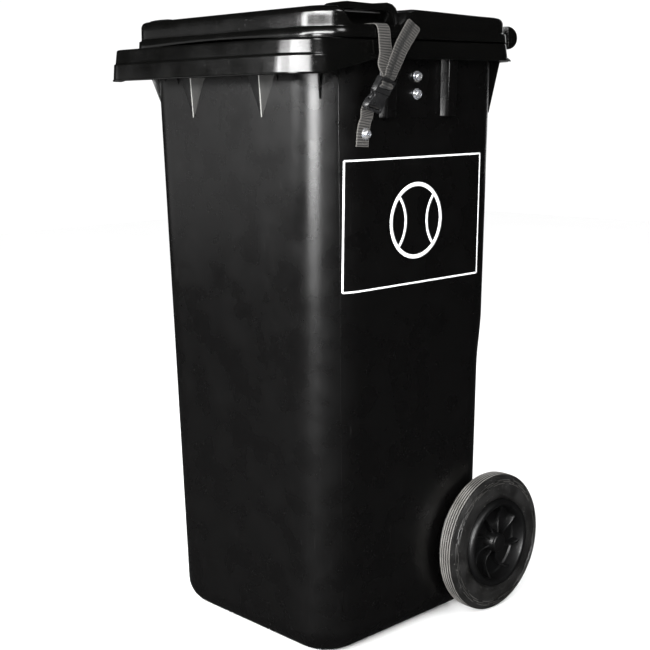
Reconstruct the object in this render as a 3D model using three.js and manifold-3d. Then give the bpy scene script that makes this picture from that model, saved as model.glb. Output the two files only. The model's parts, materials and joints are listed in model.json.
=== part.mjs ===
// A two-wheeled bin with a strapped lid that houses a small ball-throwing unit.
// Units are millimetres, +Z is up and the bin's front faces -Y. The origin is the middle of the base.
import * as THREE from 'three';
import { mergeVertices } from 'three/addons/utils/BufferGeometryUtils.js';
import Module from 'manifold-3d';

const wasm = await Module();
wasm.setup();

// ---------------------------------------------------------------- driving dimensions
const GAP = 0.35; // between pieces that touch
const WALL = 4;

const BASE_HALF_WIDTH = 186;
const BASE_HALF_DEPTH = 189;
const BASE_CORNER = 68;
const TOP_HALF_WIDTH = 215.5;
const TOP_HALF_DEPTH = 197.6;
const TOP_CORNER = 74;
const BODY_TOP = 909;
const BASE_FILLET = 41;
const BACK_RECESS = 7; // the lower back wall stands this far in
const RECESS_TOP = 490;
const RECESS_BOTTOM = 400;

const LIP = { width: 240, front: 263, back: 212, corner: 60, bottom: 863, step: 889, top: 911 };
const SIDE_RIM_BOTTOM = 884;
const LIP_RISE = { from: -222, to: -123 }; // where the lip's lower edge climbs along the side

const LID = { width: 234, front: 213, back: 204, corner: 56, bottom: 913.5, step: 925, ledge: 942 };
const LID_TOP = 955;
const LID_CROWN = 959.5;
const LID_WALL = 3.5;
const LID_DOME_BACK = 174;
const GRIP_RECESS = { inner: 188, front: -171, back: -52, floor: 930.5 };
const GRIP_BAR = { middle: 205, half: 11, front: -196, back: -50, bottom: 950.5, top: 962 };

const BACK_WING = { x: 187, thick: 4, foot: 806, inner: 174 };

const HINGE = { y: 277, z: 925.5 };
const PIN_RADIUS = 6;
const BARREL_RADIUS = 13;
const BARREL = { inner: 36, outer: 60 };
const LUG_THICKNESS = 12;
const HANDLE = { inner: 74, outer: 163, deep: 29, tall: 37 };

const WHEEL = { y: 157.6, radius: 112.2, inner: 196.8, outer: 230.8, shoulder: 9.3, bead: 77 };
const AXLE_RADIUS = 10;
const AXLE_NOTCH = { front: 122, top: 150 };

const SIDE_BOLTS = { y: -17.2, heights: [860.7, 835.6] };
const STRAP_BOLT = { y: -123.7, z: 780.8 };
const BOLT_RADIUS = 4;
const WEBBING = { width: 25, thick: 1.8 };
const BUCKLE = { width: 33, thick: 10, half: 24.5, split: 3 };
const BUCKLE_MIDDLE = new THREE.Vector3(240, -121, 835);
const BUCKLE_ALONG = new THREE.Vector3(0.41, 0.26, 0.873).normalize();
const BUCKLE_ACROSS = new THREE.Vector3(-0.11, 0.965, -0.24).normalize();

const NIP = { y: -5, z: 785 }; // where the ball is gripped
const LAUNCH = THREE.MathUtils.degToRad(38);
const THROW_WHEEL = { x: 98, radius: 70, half: 20 };
const PLATE = { top: -35, thick: 3, front: -72, back: 92 };
const TUBE = { inner: 36, outer: 39, to: 150 };
const FEED = { y: 65, pitch: 45, discRadius: 83, bottom: 832, top: 860, holeRadius: 35.5 };
const HOPPER = { side: 184, front: -25, back: 186, rim: 905, floor: 862, sheet: 3 };
const CONTROL = { x: 118, halfWidth: 46, front: -84, bottom: 853, top: 893 };

// ---------------------------------------------------------------- materials
const paint = (color, roughness, metalness = 0) =>
  new THREE.MeshStandardMaterial({ color, roughness, metalness });
const MATERIAL = {
  bin: paint(0x141414, 0.42),
  hub: paint(0x101010, 0.5),
  rubber: paint(0x2b2b2b, 0.85),
  steel: paint(0xb9bcc0, 0.3, 1),
  zinc: paint(0xd2d4d6, 0.22, 1),
  webbing: paint(0x4d4b48, 0.9),
  buckle: paint(0x0c0c0c, 0.25),
  frame: paint(0x5a5f64, 0.45, 0.8),
  throwRubber: paint(0x8c9a3a, 0.8),
  hopper: paint(0x2e3136, 0.55),
  feed: paint(0xd9d9d4, 0.4),
  motor: paint(0x3b3e42, 0.4, 0.7),
  battery: paint(0x1f2226, 0.6),
  control: paint(0x25282c, 0.5),
  knob: paint(0x0e0e0e, 0.4),
  rocker: paint(0xb3231c, 0.35),
};

// ---------------------------------------------------------------- solids and booleans
function solid(geometry) {
  const bare = geometry.clone();
  bare.deleteAttribute('normal');
  bare.deleteAttribute('uv');
  const merged = mergeVertices(bare, 1e-4);
  return new wasm.Manifold(
    new wasm.Mesh({
      numProp: 3,
      vertProperties: new Float32Array(merged.attributes.position.array),
      triVerts: new Uint32Array(merged.index.array),
    }),
  );
}

function geometryOf(manifold) {
  const mesh = manifold.getMesh();
  const geometry = new THREE.BufferGeometry();
  geometry.setAttribute('position', new THREE.BufferAttribute(mesh.vertProperties, 3));
  geometry.setIndex(new THREE.BufferAttribute(mesh.triVerts, 1));
  geometry.computeVertexNormals();
  return geometry;
}

const union = (first, ...rest) => rest.reduce((sum, next) => sum.add(next), first);
const cut = (first, ...rest) => rest.reduce((left, next) => left.subtract(next), first);

// A box given by its low and high corners.
function box(low, high) {
  const size = low.map((value, i) => high[i] - value);
  const geometry = new THREE.BoxGeometry(...size);
  geometry.translate(...low.map((value, i) => value + size[i] / 2));
  return solid(geometry);
}

// A cylinder from one point along a direction.
function rod(from, direction, length, radius, sides = 24, farRadius = radius) {
  const geometry = new THREE.CylinderGeometry(farRadius, radius, length, sides);
  geometry.translate(0, length / 2, 0);
  const turn = new THREE.Quaternion().setFromUnitVectors(
    new THREE.Vector3(0, 1, 0),
    new THREE.Vector3(...direction).normalize(),
  );
  geometry.applyQuaternion(turn);
  geometry.translate(...from);
  return solid(geometry);
}

// A lathe whose profile is [distance along +X, radius] pairs, turned about the X axis.
function turnedAboutX(profile, sides) {
  const points = profile.map(([along, radius]) => new THREE.Vector2(radius, along));
  const geometry = new THREE.LatheGeometry(points, sides);
  geometry.rotateZ(-Math.PI / 2);
  return solid(geometry);
}

// A flat outline in the YZ plane, made thick along X.
function slabAlongX(outline, low, high) {
  const shape = new THREE.Shape(outline.map(([y, z]) => new THREE.Vector2(y, z)));
  const geometry = new THREE.ExtrudeGeometry(shape, { depth: high - low, bevelEnabled: false });
  geometry.applyMatrix4(new THREE.Matrix4().set(0, 0, 1, low, 1, 0, 0, 0, 0, 1, 0, 0, 0, 0, 0, 1));
  return solid(geometry);
}

// A flat outline in the XZ plane, made thick along Y.
function slabAlongY(outline, low, high) {
  const shape = new THREE.Shape(outline.map(([x, z]) => new THREE.Vector2(x, z)));
  const geometry = new THREE.ExtrudeGeometry(shape, { depth: high - low, bevelEnabled: false });
  geometry.rotateX(Math.PI / 2);
  geometry.translate(0, high, 0);
  return solid(geometry);
}

// A stack of rounded rectangles. The corner arcs of the unit outline are centred on (+-1, +-1)
// with radius 1, so each vertex splits into its corner's signs and a unit direction.
function loft(levels, arcSteps = 3) {
  const outline = new THREE.Shape();
  [[1, 1], [-1, 1], [-1, -1], [1, -1]].forEach(([x, y], quarter) => {
    outline.absarc(x, y, 1, (quarter * Math.PI) / 2, ((quarter + 1) * Math.PI) / 2);
  });
  const steps = levels.length - 1;
  const options = { depth: 1, steps, bevelEnabled: false, curveSegments: arcSteps };
  const geometry = new THREE.ExtrudeGeometry(outline, options);
  const position = geometry.attributes.position;
  for (let i = 0; i < position.count; i += 1) {
    const level = levels[Math.round(position.getZ(i) * steps)];
    const signX = Math.sign(position.getX(i));
    const signY = Math.sign(position.getY(i));
    const depth = signY < 0 ? level.front : level.back;
    const x = signX * (level.width - level.corner) + (position.getX(i) - signX) * level.corner;
    const y = signY * (depth - level.corner) + (position.getY(i) - signY) * level.corner;
    position.setXYZ(i, x, y, level.z);
  }
  return solid(geometry);
}

const grown = (level, by, z = level.z) => ({
  z,
  width: level.width + by,
  front: level.front + by,
  back: level.back + by,
  corner: level.corner + by,
});

// ---------------------------------------------------------------- scene graph helpers
const group = new THREE.Group();

function place(name, manifold, material, parent = group) {
  const mesh = new THREE.Mesh(geometryOf(manifold), material);
  mesh.name = name;
  parent.add(mesh);
  return mesh;
}

const SIDES = [
  ['right', 1],
  ['left', -1],
];
const mirrored = (manifold, side) => (side > 0 ? manifold : manifold.mirror([1, 0, 0]));

// ---------------------------------------------------------------- bin body
function bodyLevel(z) {
  const rise = z / 867;
  const front = THREE.MathUtils.lerp(BASE_HALF_DEPTH, TOP_HALF_DEPTH, rise);
  const recess = BACK_RECESS * (1 - THREE.MathUtils.smoothstep(z, RECESS_BOTTOM, RECESS_TOP));
  return {
    z,
    width: THREE.MathUtils.lerp(BASE_HALF_WIDTH, TOP_HALF_WIDTH, rise),
    front,
    back: front - recess,
    corner: THREE.MathUtils.lerp(BASE_CORNER, TOP_CORNER, rise),
  };
}

const wallX = (z) => bodyLevel(z).width;

// The body's outer shape moved in by inset, from its filleted base up to the given height.
function bodyShape(inset, top) {
  const fillet = BASE_FILLET - inset;
  const round = [0, 22.5, 45, 67.5, 90].map((degrees) => {
    const angle = THREE.MathUtils.degToRad(degrees);
    const z = inset + fillet * (1 - Math.sin(angle));
    return grown(bodyLevel(z), -inset - fillet * (1 - Math.cos(angle)), z);
  });
  const walls = [RECESS_BOTTOM, (RECESS_BOTTOM + RECESS_TOP) / 2, RECESS_TOP, top];
  return loft([...round.reverse(), ...walls.map((z) => grown(bodyLevel(z), -inset))]);
}

// The notch across the lower back that the axle lies in.
const notchOutline = (inset) => [
  [AXLE_NOTCH.front - inset, -1],
  [AXLE_NOTCH.front - inset, AXLE_NOTCH.top - 26],
  [AXLE_NOTCH.front + 26 - inset, AXLE_NOTCH.top + inset],
  [230, AXLE_NOTCH.top + inset],
  [230, -1],
];

const cavity = (inset) =>
  cut(bodyShape(inset, BODY_TOP + 60), slabAlongX(notchOutline(inset), -260, 260));

function lipRing() {
  const outer = { width: LIP.width, front: LIP.front, back: LIP.back, corner: LIP.corner };
  const levels = [
    { z: LIP.bottom, ...outer },
    { ...grown(outer, -2.5), z: LIP.step },
    { ...grown(outer, -5), z: LIP.step + 0.5 },
    { ...grown(outer, -8), z: LIP.top },
  ];
  const pocket = levels.map((level) => grown(level, -WALL));
  pocket[0].z = LIP.bottom - 1;
  pocket[3].z = LIP.top - WALL;
  const belowSide = slabAlongX(
    [
      [LIP_RISE.from, LIP.bottom],
      [LIP_RISE.to, SIDE_RIM_BOTTOM],
      [300, SIDE_RIM_BOTTOM],
      [300, LIP.bottom - 5],
      [LIP_RISE.from, LIP.bottom - 5],
    ],
    -260,
    260,
  );
  return cut(loft(levels), loft(pocket), belowSide);
}

// Wedge ribs under the front lip: wide at the lip and running out to a point on the wall.
function frontFin(x, halfWidth, reach, bottom) {
  const wallY = -bodyLevel(bottom).front;
  const geometry = new THREE.CylinderGeometry(halfWidth * Math.SQRT2, 1, LIP.top - bottom - 4, 4);
  geometry.rotateX(Math.PI / 2);
  geometry.rotateZ(Math.PI / 4);
  geometry.scale(1, reach / halfWidth, 1);
  geometry.translate(x, wallY, (LIP.top + bottom - 4) / 2);
  return solid(geometry);
}

function frontRib(x, reach, bottom) {
  const wallY = -bodyLevel(bottom).front + 2;
  const outline = [
    [wallY, bottom],
    [-LIP.front + 12, LIP.bottom + 8],
    [-LIP.front + 12, LIP.top - 2],
    [wallY, LIP.top - 2],
  ];
  return slabAlongX(outline, x - reach, x + reach);
}

function sideRib(y, halfWidth, bottom) {
  const wall = wallX(bottom) - 2;
  const outline = [
    [wall, bottom],
    [wall + 15, bottom + 1],
    [LIP.width - 8, LIP.step],
    [LIP.width - 8, LIP.top - 2],
    [wall, LIP.top - 2],
  ];
  return slabAlongY(outline, y - halfWidth, y + halfWidth);
}

// A vertical gusset that carries the rim past the back corner.
function backWing() {
  const { x, thick, foot, inner } = BACK_WING;
  const outline = [
    [inner, foot],
    [inner + 6, foot],
    [LIP.back - 5, SIDE_RIM_BOTTOM + 2],
    [LIP.back - 5, LIP.top - 2],
    [inner, LIP.top - 2],
  ];
  return slabAlongX(outline, x, x + thick);
}

function handleSection() {
  const half = HANDLE.tall / 2;
  const flat = HINGE.y - HANDLE.deep / 2;
  const shape = new THREE.Shape();
  shape.moveTo(flat, HINGE.z + half);
  shape.lineTo(flat, HINGE.z - half);
  shape.bezierCurveTo(
    HINGE.y + HANDLE.deep * 0.65, HINGE.z - half,
    HINGE.y + HANDLE.deep * 0.65, HINGE.z + half,
    flat, HINGE.z + half,
  );
  return shape.getPoints(7).map((point) => [point.x, point.y]);
}

// One rear grip with its two webs and the two lugs that hold a hinge pin.
function rearHandle() {
  const grip = slabAlongX(handleSection(), HANDLE.inner, HANDLE.outer);
  const webOutline = [
    [190, 842],
    [203, 846],
    [HINGE.y - 2, HINGE.z - HANDLE.tall / 2 + 4],
    [HINGE.y - 12, HINGE.z],
    [190, 900],
  ];
  const lugOutline = [
    [190, 846],
    [205, 850],
    [HINGE.y + 6, HINGE.z - 12],
    [HINGE.y + 6, HINGE.z],
    [HINGE.y - 12, HINGE.z],
    [190, 900],
  ];
  const lug = (from) =>
    union(
      slabAlongX(lugOutline, from, from + LUG_THICKNESS),
      rod([from, HINGE.y, HINGE.z], [1, 0, 0], LUG_THICKNESS, BARREL_RADIUS + 1),
    );
  const innerLug = lug(BARREL.inner - GAP - LUG_THICKNESS);
  const outerLug = lug(BARREL.outer + GAP);
  const web = slabAlongX(webOutline, HANDLE.outer - 16, HANDLE.outer - 10);
  return union(grip, innerLug, outerLug, web, slabAlongX(webOutline, 96, 102));
}

const pinHole = () =>
  rod([BARREL.inner - GAP - LUG_THICKNESS - 1, HINGE.y, HINGE.z], [1, 0, 0], 66, PIN_RADIUS + GAP, 20);

// A cheek under the body that the axle passes through.
function axleCheek() {
  const outline = [
    [AXLE_NOTCH.front - 4, AXLE_NOTCH.top - 40],
    [AXLE_NOTCH.front + 12, 84],
    [WHEEL.y + 18, 84],
    [WHEEL.y + 18, AXLE_NOTCH.top + 4],
    [AXLE_NOTCH.front + 10, AXLE_NOTCH.top + 4],
  ];
  return slabAlongX(outline, 156, 176);
}

const boltHole = (y, z) => rod([180, y, z], [1, 0, 0], 60, BOLT_RADIUS + GAP, 12);

function binBody() {
  const halves = [];
  const holes = [];
  SIDES.forEach(([, side]) => {
    const extras = union(
      frontFin(80, 32, 19, 806),
      ...[116, 150].map((x) => frontRib(x, 1.8, 856)),
      sideRib(-81.5, 9.5, 802),
      sideRib(49, 9.5, 802),
      backWing(),
      rearHandle(),
      axleCheek(),
    );
    halves.push(mirrored(extras, side));
    holes.push(mirrored(pinHole(), side));
    SIDE_BOLTS.heights.forEach((z) => holes.push(mirrored(boltHole(SIDE_BOLTS.y, z), side)));
  });
  holes.push(boltHole(STRAP_BOLT.y, STRAP_BOLT.z));
  holes.push(rod([-240, WHEEL.y, WHEEL.radius], [1, 0, 0], 480, AXLE_RADIUS + GAP));
  const outside = cut(bodyShape(0, BODY_TOP), slabAlongX(notchOutline(0), -260, 260));
  return cut(union(outside, lipRing(), ...halves), cavity(WALL), ...holes);
}

// ---------------------------------------------------------------- lid
const LID_PLAN = { width: LID.width, front: LID.front, back: LID.back, corner: LID.corner };

function lidSkin(inset, bottom) {
  const at = (by, z) => ({ ...grown(LID_PLAN, by - inset), z: z - inset });
  const dome = (by, z) => ({ ...at(by, z), back: LID_DOME_BACK + by - inset });
  const skirt = loft([
    { ...at(0, LID.bottom), z: bottom },
    at(-0.8, LID.step),
    at(-4, LID.step + 0.6),
    at(-6, LID.ledge - 5),
    at(-9, LID.ledge - 1.5),
    at(-15, LID.ledge),
  ]);
  const top = loft([
    { ...dome(-4.5, LID.step + 2), z: LID.step + 1 },
    dome(-5.5, LID_TOP - 9),
    dome(-7.5, LID_TOP - 3),
    dome(-14, LID_TOP),
    dome(-30, LID_TOP + 1.5),
    dome(-70, LID_CROWN),
  ]);
  return union(skirt, top);
}

function gripRecess(inset) {
  const { inner, front, back, floor } = GRIP_RECESS;
  const outline = [
    [front - 14 - inset, LID_CROWN + 20],
    [front - 2 - inset, LID_TOP - 4],
    [front + 14 - inset, floor + 1 - inset],
    [front + 20 - inset, floor - inset],
    [back - 6 + inset, floor - inset],
    [back + inset, LID_CROWN + 20],
  ];
  return slabAlongX(outline, inner - inset, 260);
}

// The hand grip that bridges the recess at each side of the lid.
function gripBar() {
  const { middle, half, front, back, bottom, top } = GRIP_BAR;
  const outline = [
    [front, LID_TOP - 3],
    [front + 10, top - 4],
    [front + 22, top],
    [back - 20, top + 2],
    [back - 10, top - 3],
    [back, LID_TOP - 8],
    [GRIP_RECESS.back - 9, GRIP_RECESS.floor - 2],
    [GRIP_RECESS.back - 14, bottom - 6],
    [GRIP_RECESS.back - 20, bottom],
    [GRIP_RECESS.front + 12, bottom],
    [GRIP_RECESS.front - 4, bottom - 4],
  ];
  const plan = grown(LID_PLAN, -5.5);
  const domeWall = loft([{ ...plan, z: LID.bottom }, { ...plan, z: LID_CROWN + 20 }]);
  return slabAlongX(outline, middle - half, middle + half).intersect(domeWall);
}

function lidArm() {
  const outline = [
    [LID.back - 20, LID.ledge - 14],
    [LID.back - 20, LID.ledge - 1],
    [LID.back + 14, LID.ledge - 1],
    [HINGE.y, HINGE.z + BARREL_RADIUS],
    [HINGE.y + 2, HINGE.z - 4],
    [HINGE.y - 14, HINGE.z + 1],
    [LID.back, LID.bottom + 5],
  ];
  const { inner, outer } = BARREL;
  return union(
    slabAlongX(outline, inner, outer),
    rod([inner, HINGE.y, HINGE.z], [1, 0, 0], outer - inner, BARREL_RADIUS),
  );
}

function lidSolid() {
  const onBothSides = (shape) => SIDES.map(([, side]) => mirrored(shape, side));
  const outside = cut(lidSkin(0, LID.bottom), ...onBothSides(gripRecess(0)));
  const inside = cut(lidSkin(LID_WALL, LID.bottom - 10), ...onBothSides(gripRecess(LID_WALL)));
  const extras = onBothSides(union(gripBar(), lidArm()));
  return cut(union(outside, ...extras), inside, ...onBothSides(pinHole()));
}

function hingePin() {
  const start = BARREL.inner - GAP - LUG_THICKNESS;
  return union(
    rod([start - 2, HINGE.y, HINGE.z], [1, 0, 0], BARREL.outer - start + LUG_THICKNESS + 1, PIN_RADIUS, 20),
    rod([start - 4, HINGE.y, HINGE.z], [1, 0, 0], 4 - GAP, PIN_RADIUS + 3, 20),
  );
}

// ---------------------------------------------------------------- wheels and axle
function tyre() {
  const { inner, outer, radius, shoulder, bead } = WHEEL;
  const crown = [0, 45, 90].map((degrees) => {
    const angle = THREE.MathUtils.degToRad(degrees);
    return [shoulder * (1 - Math.sin(angle)), radius - shoulder * (1 - Math.cos(angle))];
  });
  const right = crown.map(([across, high]) => [outer - across, high]).reverse();
  const left = crown.map(([across, high]) => [inner + across, high]);
  const profile = [[inner, bead + 5], [inner + 3, bead], [outer - 3, bead], [outer, bead + 5]];
  return turnedAboutX([...profile, ...right, ...left, profile[0]].reverse(), 44);
}

function hub() {
  const { inner, outer } = WHEEL;
  const rim = WHEEL.bead - GAP;
  const bore = AXLE_RADIUS + GAP;
  const profile = [
    [inner + 1, bore],
    [inner + 1, 24],
    [inner + 12, 24],
    [inner + 12, rim - 7],
    [inner + 2, rim - 5],
    [inner + 2, rim],
    [outer + 1, rim],
    [outer + 5, rim - 5],
    [outer + 6.5, rim - 11],
    [outer + 2, rim - 15],
    [inner + 17, rim - 17],
    [inner + 16, 30],
    [outer + 1, 21],
    [outer + 1, bore],
    [inner + 1, bore],
  ];
  return turnedAboutX(profile, 30);
}

function hubCap() {
  const start = WHEEL.outer + 1 + GAP;
  const profile = [[start, 0], [start, 19], [start + 2, 19], [start + 4.5, 14], [start + 5, 0]];
  return turnedAboutX(profile, 24);
}

function addWheel(name, side) {
  const parts = [
    ['tyre', tyre(), MATERIAL.rubber],
    ['wheel_hub', hub(), MATERIAL.hub],
    ['hub_cap', hubCap(), MATERIAL.hub],
  ];
  parts.forEach(([kind, shape, material]) => {
    const mesh = place(`${kind}_${name}`, mirrored(shape, side), material);
    mesh.position.set(0, WHEEL.y, WHEEL.radius);
  });
}

// ---------------------------------------------------------------- bolts
const BOLT_INNER = 196; // where the bolts' nuts sit, along X
const NUT_THICK = 6.5;

function addBolt(label, y, z, side, innerFace, underWasher = 0) {
  const face = wallX(z) + 0.7 + underWasher;
  const across = (at, length, radius, sides, far) => rod([at, 0, 0], [1, 0, 0], length, radius, sides, far);
  const socket = across(face + 4.6, 4, 2.3, 6);
  const shankStart = innerFace - NUT_THICK - 3;
  const shank = across(shankStart, face + 3.5 - shankStart, BOLT_RADIUS, 12);
  const head = across(face + 2 + GAP, 5, 6.8, 14, 4.2);
  const washer = cut(across(face, 2, 8.2, 18), across(face - 1, 4, BOLT_RADIUS + GAP, 12));
  const nut = cut(
    across(innerFace - GAP - NUT_THICK, NUT_THICK, 7, 6),
    across(innerFace - NUT_THICK - 2, NUT_THICK + 4, BOLT_RADIUS + GAP, 12),
  );
  const pieces = [
    [`bolt_${label}`, cut(union(head, shank), socket), MATERIAL.zinc],
    [`washer_${label}`, washer, MATERIAL.zinc],
    [`nut_${label}`, nut, MATERIAL.steel],
  ];
  pieces.forEach(([name, shape, material]) => {
    place(name, mirrored(shape, side), material).position.set(0, y, z);
  });
}

// ---------------------------------------------------------------- lid strap and buckle
// Webbing that follows rows of [x, y, z, across x, across y, across z].
function ribbon(rows) {
  const centres = rows.map((row) => new THREE.Vector3(...row.slice(0, 3)));
  const corners = centres.flatMap((centre, i) => {
    const before = centres[Math.max(i - 1, 0)];
    const along = centres[Math.min(i + 1, rows.length - 1)].clone().sub(before).normalize();
    const across = new THREE.Vector3(...rows[i].slice(3));
    across.addScaledVector(along, -across.dot(along)).setLength(WEBBING.width / 2);
    const out = across.clone().cross(along).setLength(WEBBING.thick / 2);
    return [[1, 1], [1, -1], [-1, -1], [-1, 1]].map(([u, v]) =>
      centre.clone().addScaledVector(across, u).addScaledVector(out, v),
    );
  });
  const faces = [[0, 2, 1], [0, 3, 2]];
  for (let i = 0; i < rows.length - 1; i += 1) {
    for (let k = 0; k < 4; k += 1) {
      const [low, next] = [4 * i + k, 4 * i + ((k + 1) % 4)];
      faces.push([low, next, next + 4], [low, next + 4, low + 4]);
    }
  }
  const last = corners.length - 4;
  faces.push([last, last + 1, last + 2], [last, last + 2, last + 3]);
  const geometry = new THREE.BufferGeometry().setFromPoints(corners);
  geometry.setIndex(faces.flat());
  return solid(geometry);
}

// The buckle's own frame: local X is out of its face, Y across its width and Z along it.
function buckleGroup() {
  const out = BUCKLE_ACROSS.clone().cross(BUCKLE_ALONG).normalize();
  const across = BUCKLE_ALONG.clone().cross(out);
  const frame = new THREE.Group();
  frame.matrixAutoUpdate = false;
  frame.matrix.makeBasis(out, across, BUCKLE_ALONG).setPosition(BUCKLE_MIDDLE);
  group.add(frame);
  return frame;
}

function buckleFemale() {
  const { width, thick, half, split } = BUCKLE;
  const slotHalf = WEBBING.width / 2 + 0.7;
  const shell = box([-thick / 2, -width / 2, -half], [thick / 2, width / 2, split]);
  const socket = box([-3, -width / 2 + 3.5, -half + 12], [3, width / 2 - 3.5, split + 1]);
  const windows = [-1, 1].map((s) => box([-3, (s * width) / 2 - 4, -9], [3, (s * width) / 2 + 4, -1]));
  const webSlot = box([-thick, -slotHalf, -half + 4], [thick, slotHalf, -half + 8]);
  return cut(shell, socket, ...windows, webSlot);
}

function buckleMale() {
  const { width, thick, half, split } = BUCKLE;
  const slotHalf = WEBBING.width / 2 + 0.7;
  const head = box([-thick / 2 + 0.5, -width / 2, split + GAP], [thick / 2 - 0.5, width / 2, half]);
  const slots = [half - 7, half - 14].map((z) => box([-thick, -slotHalf, z], [thick, slotHalf, z + 3.5]));
  const prongs = [-1, 0, 1].map((s) => box([-2.2, s * 9.6 - 2.4, -11], [2.2, s * 9.6 + 2.4, split + 2]));
  return union(cut(head, ...slots), ...prongs);
}

// Rows of points that the webbing follows, with the direction across it.
const UPPER_STRAP = [
  [190, -105.5, GRIP_RECESS.floor + 1.6, 0, 1, 0],
  [230, -105.5, GRIP_RECESS.floor + 1.9, 0, 1, 0],
  [235.6, -105.5, GRIP_RECESS.floor - 3, 0, 1, 0],
  [237.5, -106, 908, 0, 1, 0],
  [242, -107.5, 888, 0.1, 1, 0],
  [244.5, -112, 874, 0.2, 1, 0],
  [243.6, -116, 864, 0.2, 1, 0],
];
const TAIL_STRAP = [
  [256.5, -112.5, 853, -0.1, 1, -0.2],
  [259.5, -108, 868, -0.1, 1, -0.24],
  [261, -100, 886, -0.06, 0.95, -0.3],
  [260, -86, 906, -0.03, 0.94, -0.33],
  [257, -67, 930, -0.03, 0.94, -0.34],
];
const LOWER_STRAP = [
  [1.4, -127.7, -16, 0, 1, 0],
  [1.4, -126.5, 8, 0, 1, 0],
  [3.6, -125, 22, 0, 1, 0],
  [8.2, -125.5, 28.6, 0, 1, 0],
];

function addStrap() {
  place('strap_upper', ribbon(UPPER_STRAP), MATERIAL.webbing);
  const wall = wallX(STRAP_BOLT.z);
  const lower = ribbon(LOWER_STRAP.map(([x, y, z, ...across]) => [wall + x, y, STRAP_BOLT.z + z, ...across]));
  place('strap_lower', cut(lower, boltHole(STRAP_BOLT.y, STRAP_BOLT.z)), MATERIAL.webbing);
  place('strap_tail', ribbon(TAIL_STRAP), MATERIAL.webbing);
  const buckle = buckleGroup();
  place('buckle_female', buckleFemale(), MATERIAL.buckle, buckle);
  place('buckle_male', buckleMale(), MATERIAL.buckle, buckle);
}

// ---------------------------------------------------------------- throwing unit
// Its own frame sits on the nip: local -Y is the way the ball leaves, local X is the bin's X.
function throwGroup() {
  const frame = new THREE.Group();
  frame.position.set(0, NIP.y, NIP.z);
  frame.rotation.x = -LAUNCH;
  group.add(frame);
  return frame;
}

const toNip = (manifold) =>
  manifold.rotate([-THREE.MathUtils.radToDeg(LAUNCH), 0, 0]).translate([0, NIP.y, NIP.z]);

function throwFrame() {
  const floor = PLATE.top - PLATE.thick;
  const plate = box([-202, PLATE.front, floor], [202, PLATE.back, PLATE.top]);
  const backFlange = box([-60, PLATE.back - 3, floor], [60, PLATE.back, 4]);
  const frontFlange = box([-56, PLATE.front - 3, floor - 6], [56, PLATE.front + 1, 50]);
  const barrel = box([-TUBE.inner, PLATE.front - 10, PLATE.top], [TUBE.inner, PLATE.front + 3, TUBE.inner]);
  const shafts = [-1, 1].map((s) => rod([s * THROW_WHEEL.x, 0, floor - 5], [0, 0, 1], 20, 9, 16));
  const tilted = toNip(cut(union(plate, backFlange, frontFlange), barrel, ...shafts));
  const inside = (z) => [wallX(z) - WALL - GAP, z];
  const earOutline = [[BOLT_INNER, 745], inside(745), inside(874), [BOLT_INNER, 874]];
  const ears = SIDES.map(([, side]) => mirrored(slabAlongY(earOutline, -62, 42), side));
  const holes = SIDES.flatMap(([, side]) =>
    SIDE_BOLTS.heights.map((z) => mirrored(boltHole(SIDE_BOLTS.y, z), side)),
  );
  return cut(union(tilted, ...ears), ...holes);
}

function throwWheel() {
  const { half, radius } = THROW_WHEEL;
  const profile = [
    [-half, 4 + GAP],
    [-half, radius],
    [half, radius],
    [half, radius - 14],
    [half - 8, radius - 18],
    [half - 8, 16],
    [half, 16],
    [half, 4 + GAP],
    [-half, 4 + GAP],
  ];
  return turnedAboutX(profile, 30).rotate([0, -90, 0]);
}

function throwMotor() {
  const floor = PLATE.top - PLATE.thick;
  return union(
    rod([0, 0, floor - GAP - 70], [0, 0, 1], 70, 27, 20),
    rod([0, 0, floor - GAP - 1], [0, 0, 1], 10, 8, 12),
    rod([0, 0, floor], [0, 0, 1], -floor + THROW_WHEEL.half - 9, 4, 12),
  );
}

function launchTube() {
  const flangeBack = -PLATE.front + 3 + GAP;
  const tube = rod([0, -TUBE.to, 0], [0, 1, 0], TUBE.to - flangeBack, TUBE.outer, 24);
  const flange = box([-52, -flangeBack - 3.5, -44], [52, -flangeBack, 46]);
  return cut(union(tube, flange), rod([0, -TUBE.to - 1, 0], [0, 1, 0], 90, TUBE.inner, 24));
}

function addThrowingUnit() {
  place('throw_frame', throwFrame(), MATERIAL.frame);
  const frame = throwGroup();
  place('launch_tube', launchTube(), MATERIAL.hopper, frame);
  SIDES.forEach(([name, side]) => {
    const wheel = place(`throw_wheel_${name}`, throwWheel(), MATERIAL.throwRubber, frame);
    wheel.position.x = side * THROW_WHEEL.x;
    const motor = place(`throw_motor_${name}`, throwMotor(), MATERIAL.motor, frame);
    motor.position.x = side * THROW_WHEEL.x;
  });
}

// ---------------------------------------------------------------- hopper and feed
const OUTLET_Y = FEED.y - FEED.pitch;

function hopper() {
  const { side, front, back, rim, floor, sheet } = HOPPER;
  const plan = { width: side, front: -front, back, corner: 24 };
  const tray = loft([{ ...plan, z: floor - sheet }, { ...plan, z: rim }]);
  const inside = loft([grown(plan, -sheet, floor), grown(plan, -sheet, rim + 1)]);
  const wellOuter = rod([0, FEED.y, FEED.bottom - sheet - 1], [0, 0, 1], floor - FEED.bottom + 4, 87.4, 32);
  const wellInner = rod([0, FEED.y, FEED.bottom - 1], [0, 0, 1], rim, 84.5, 32);
  const outlet = rod([0, OUTLET_Y, FEED.bottom - 20], [0, 0, 1], 40, FEED.holeRadius, 24);
  const shaft = rod([0, FEED.y, FEED.bottom - 20], [0, 0, 1], 40, 5, 12);
  const tabs = box([-210, front + 26, 874.5], [210, 36, 878]);
  return cut(union(tray, wellOuter, tabs), inside, wellInner, outlet, shaft);
}

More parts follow.
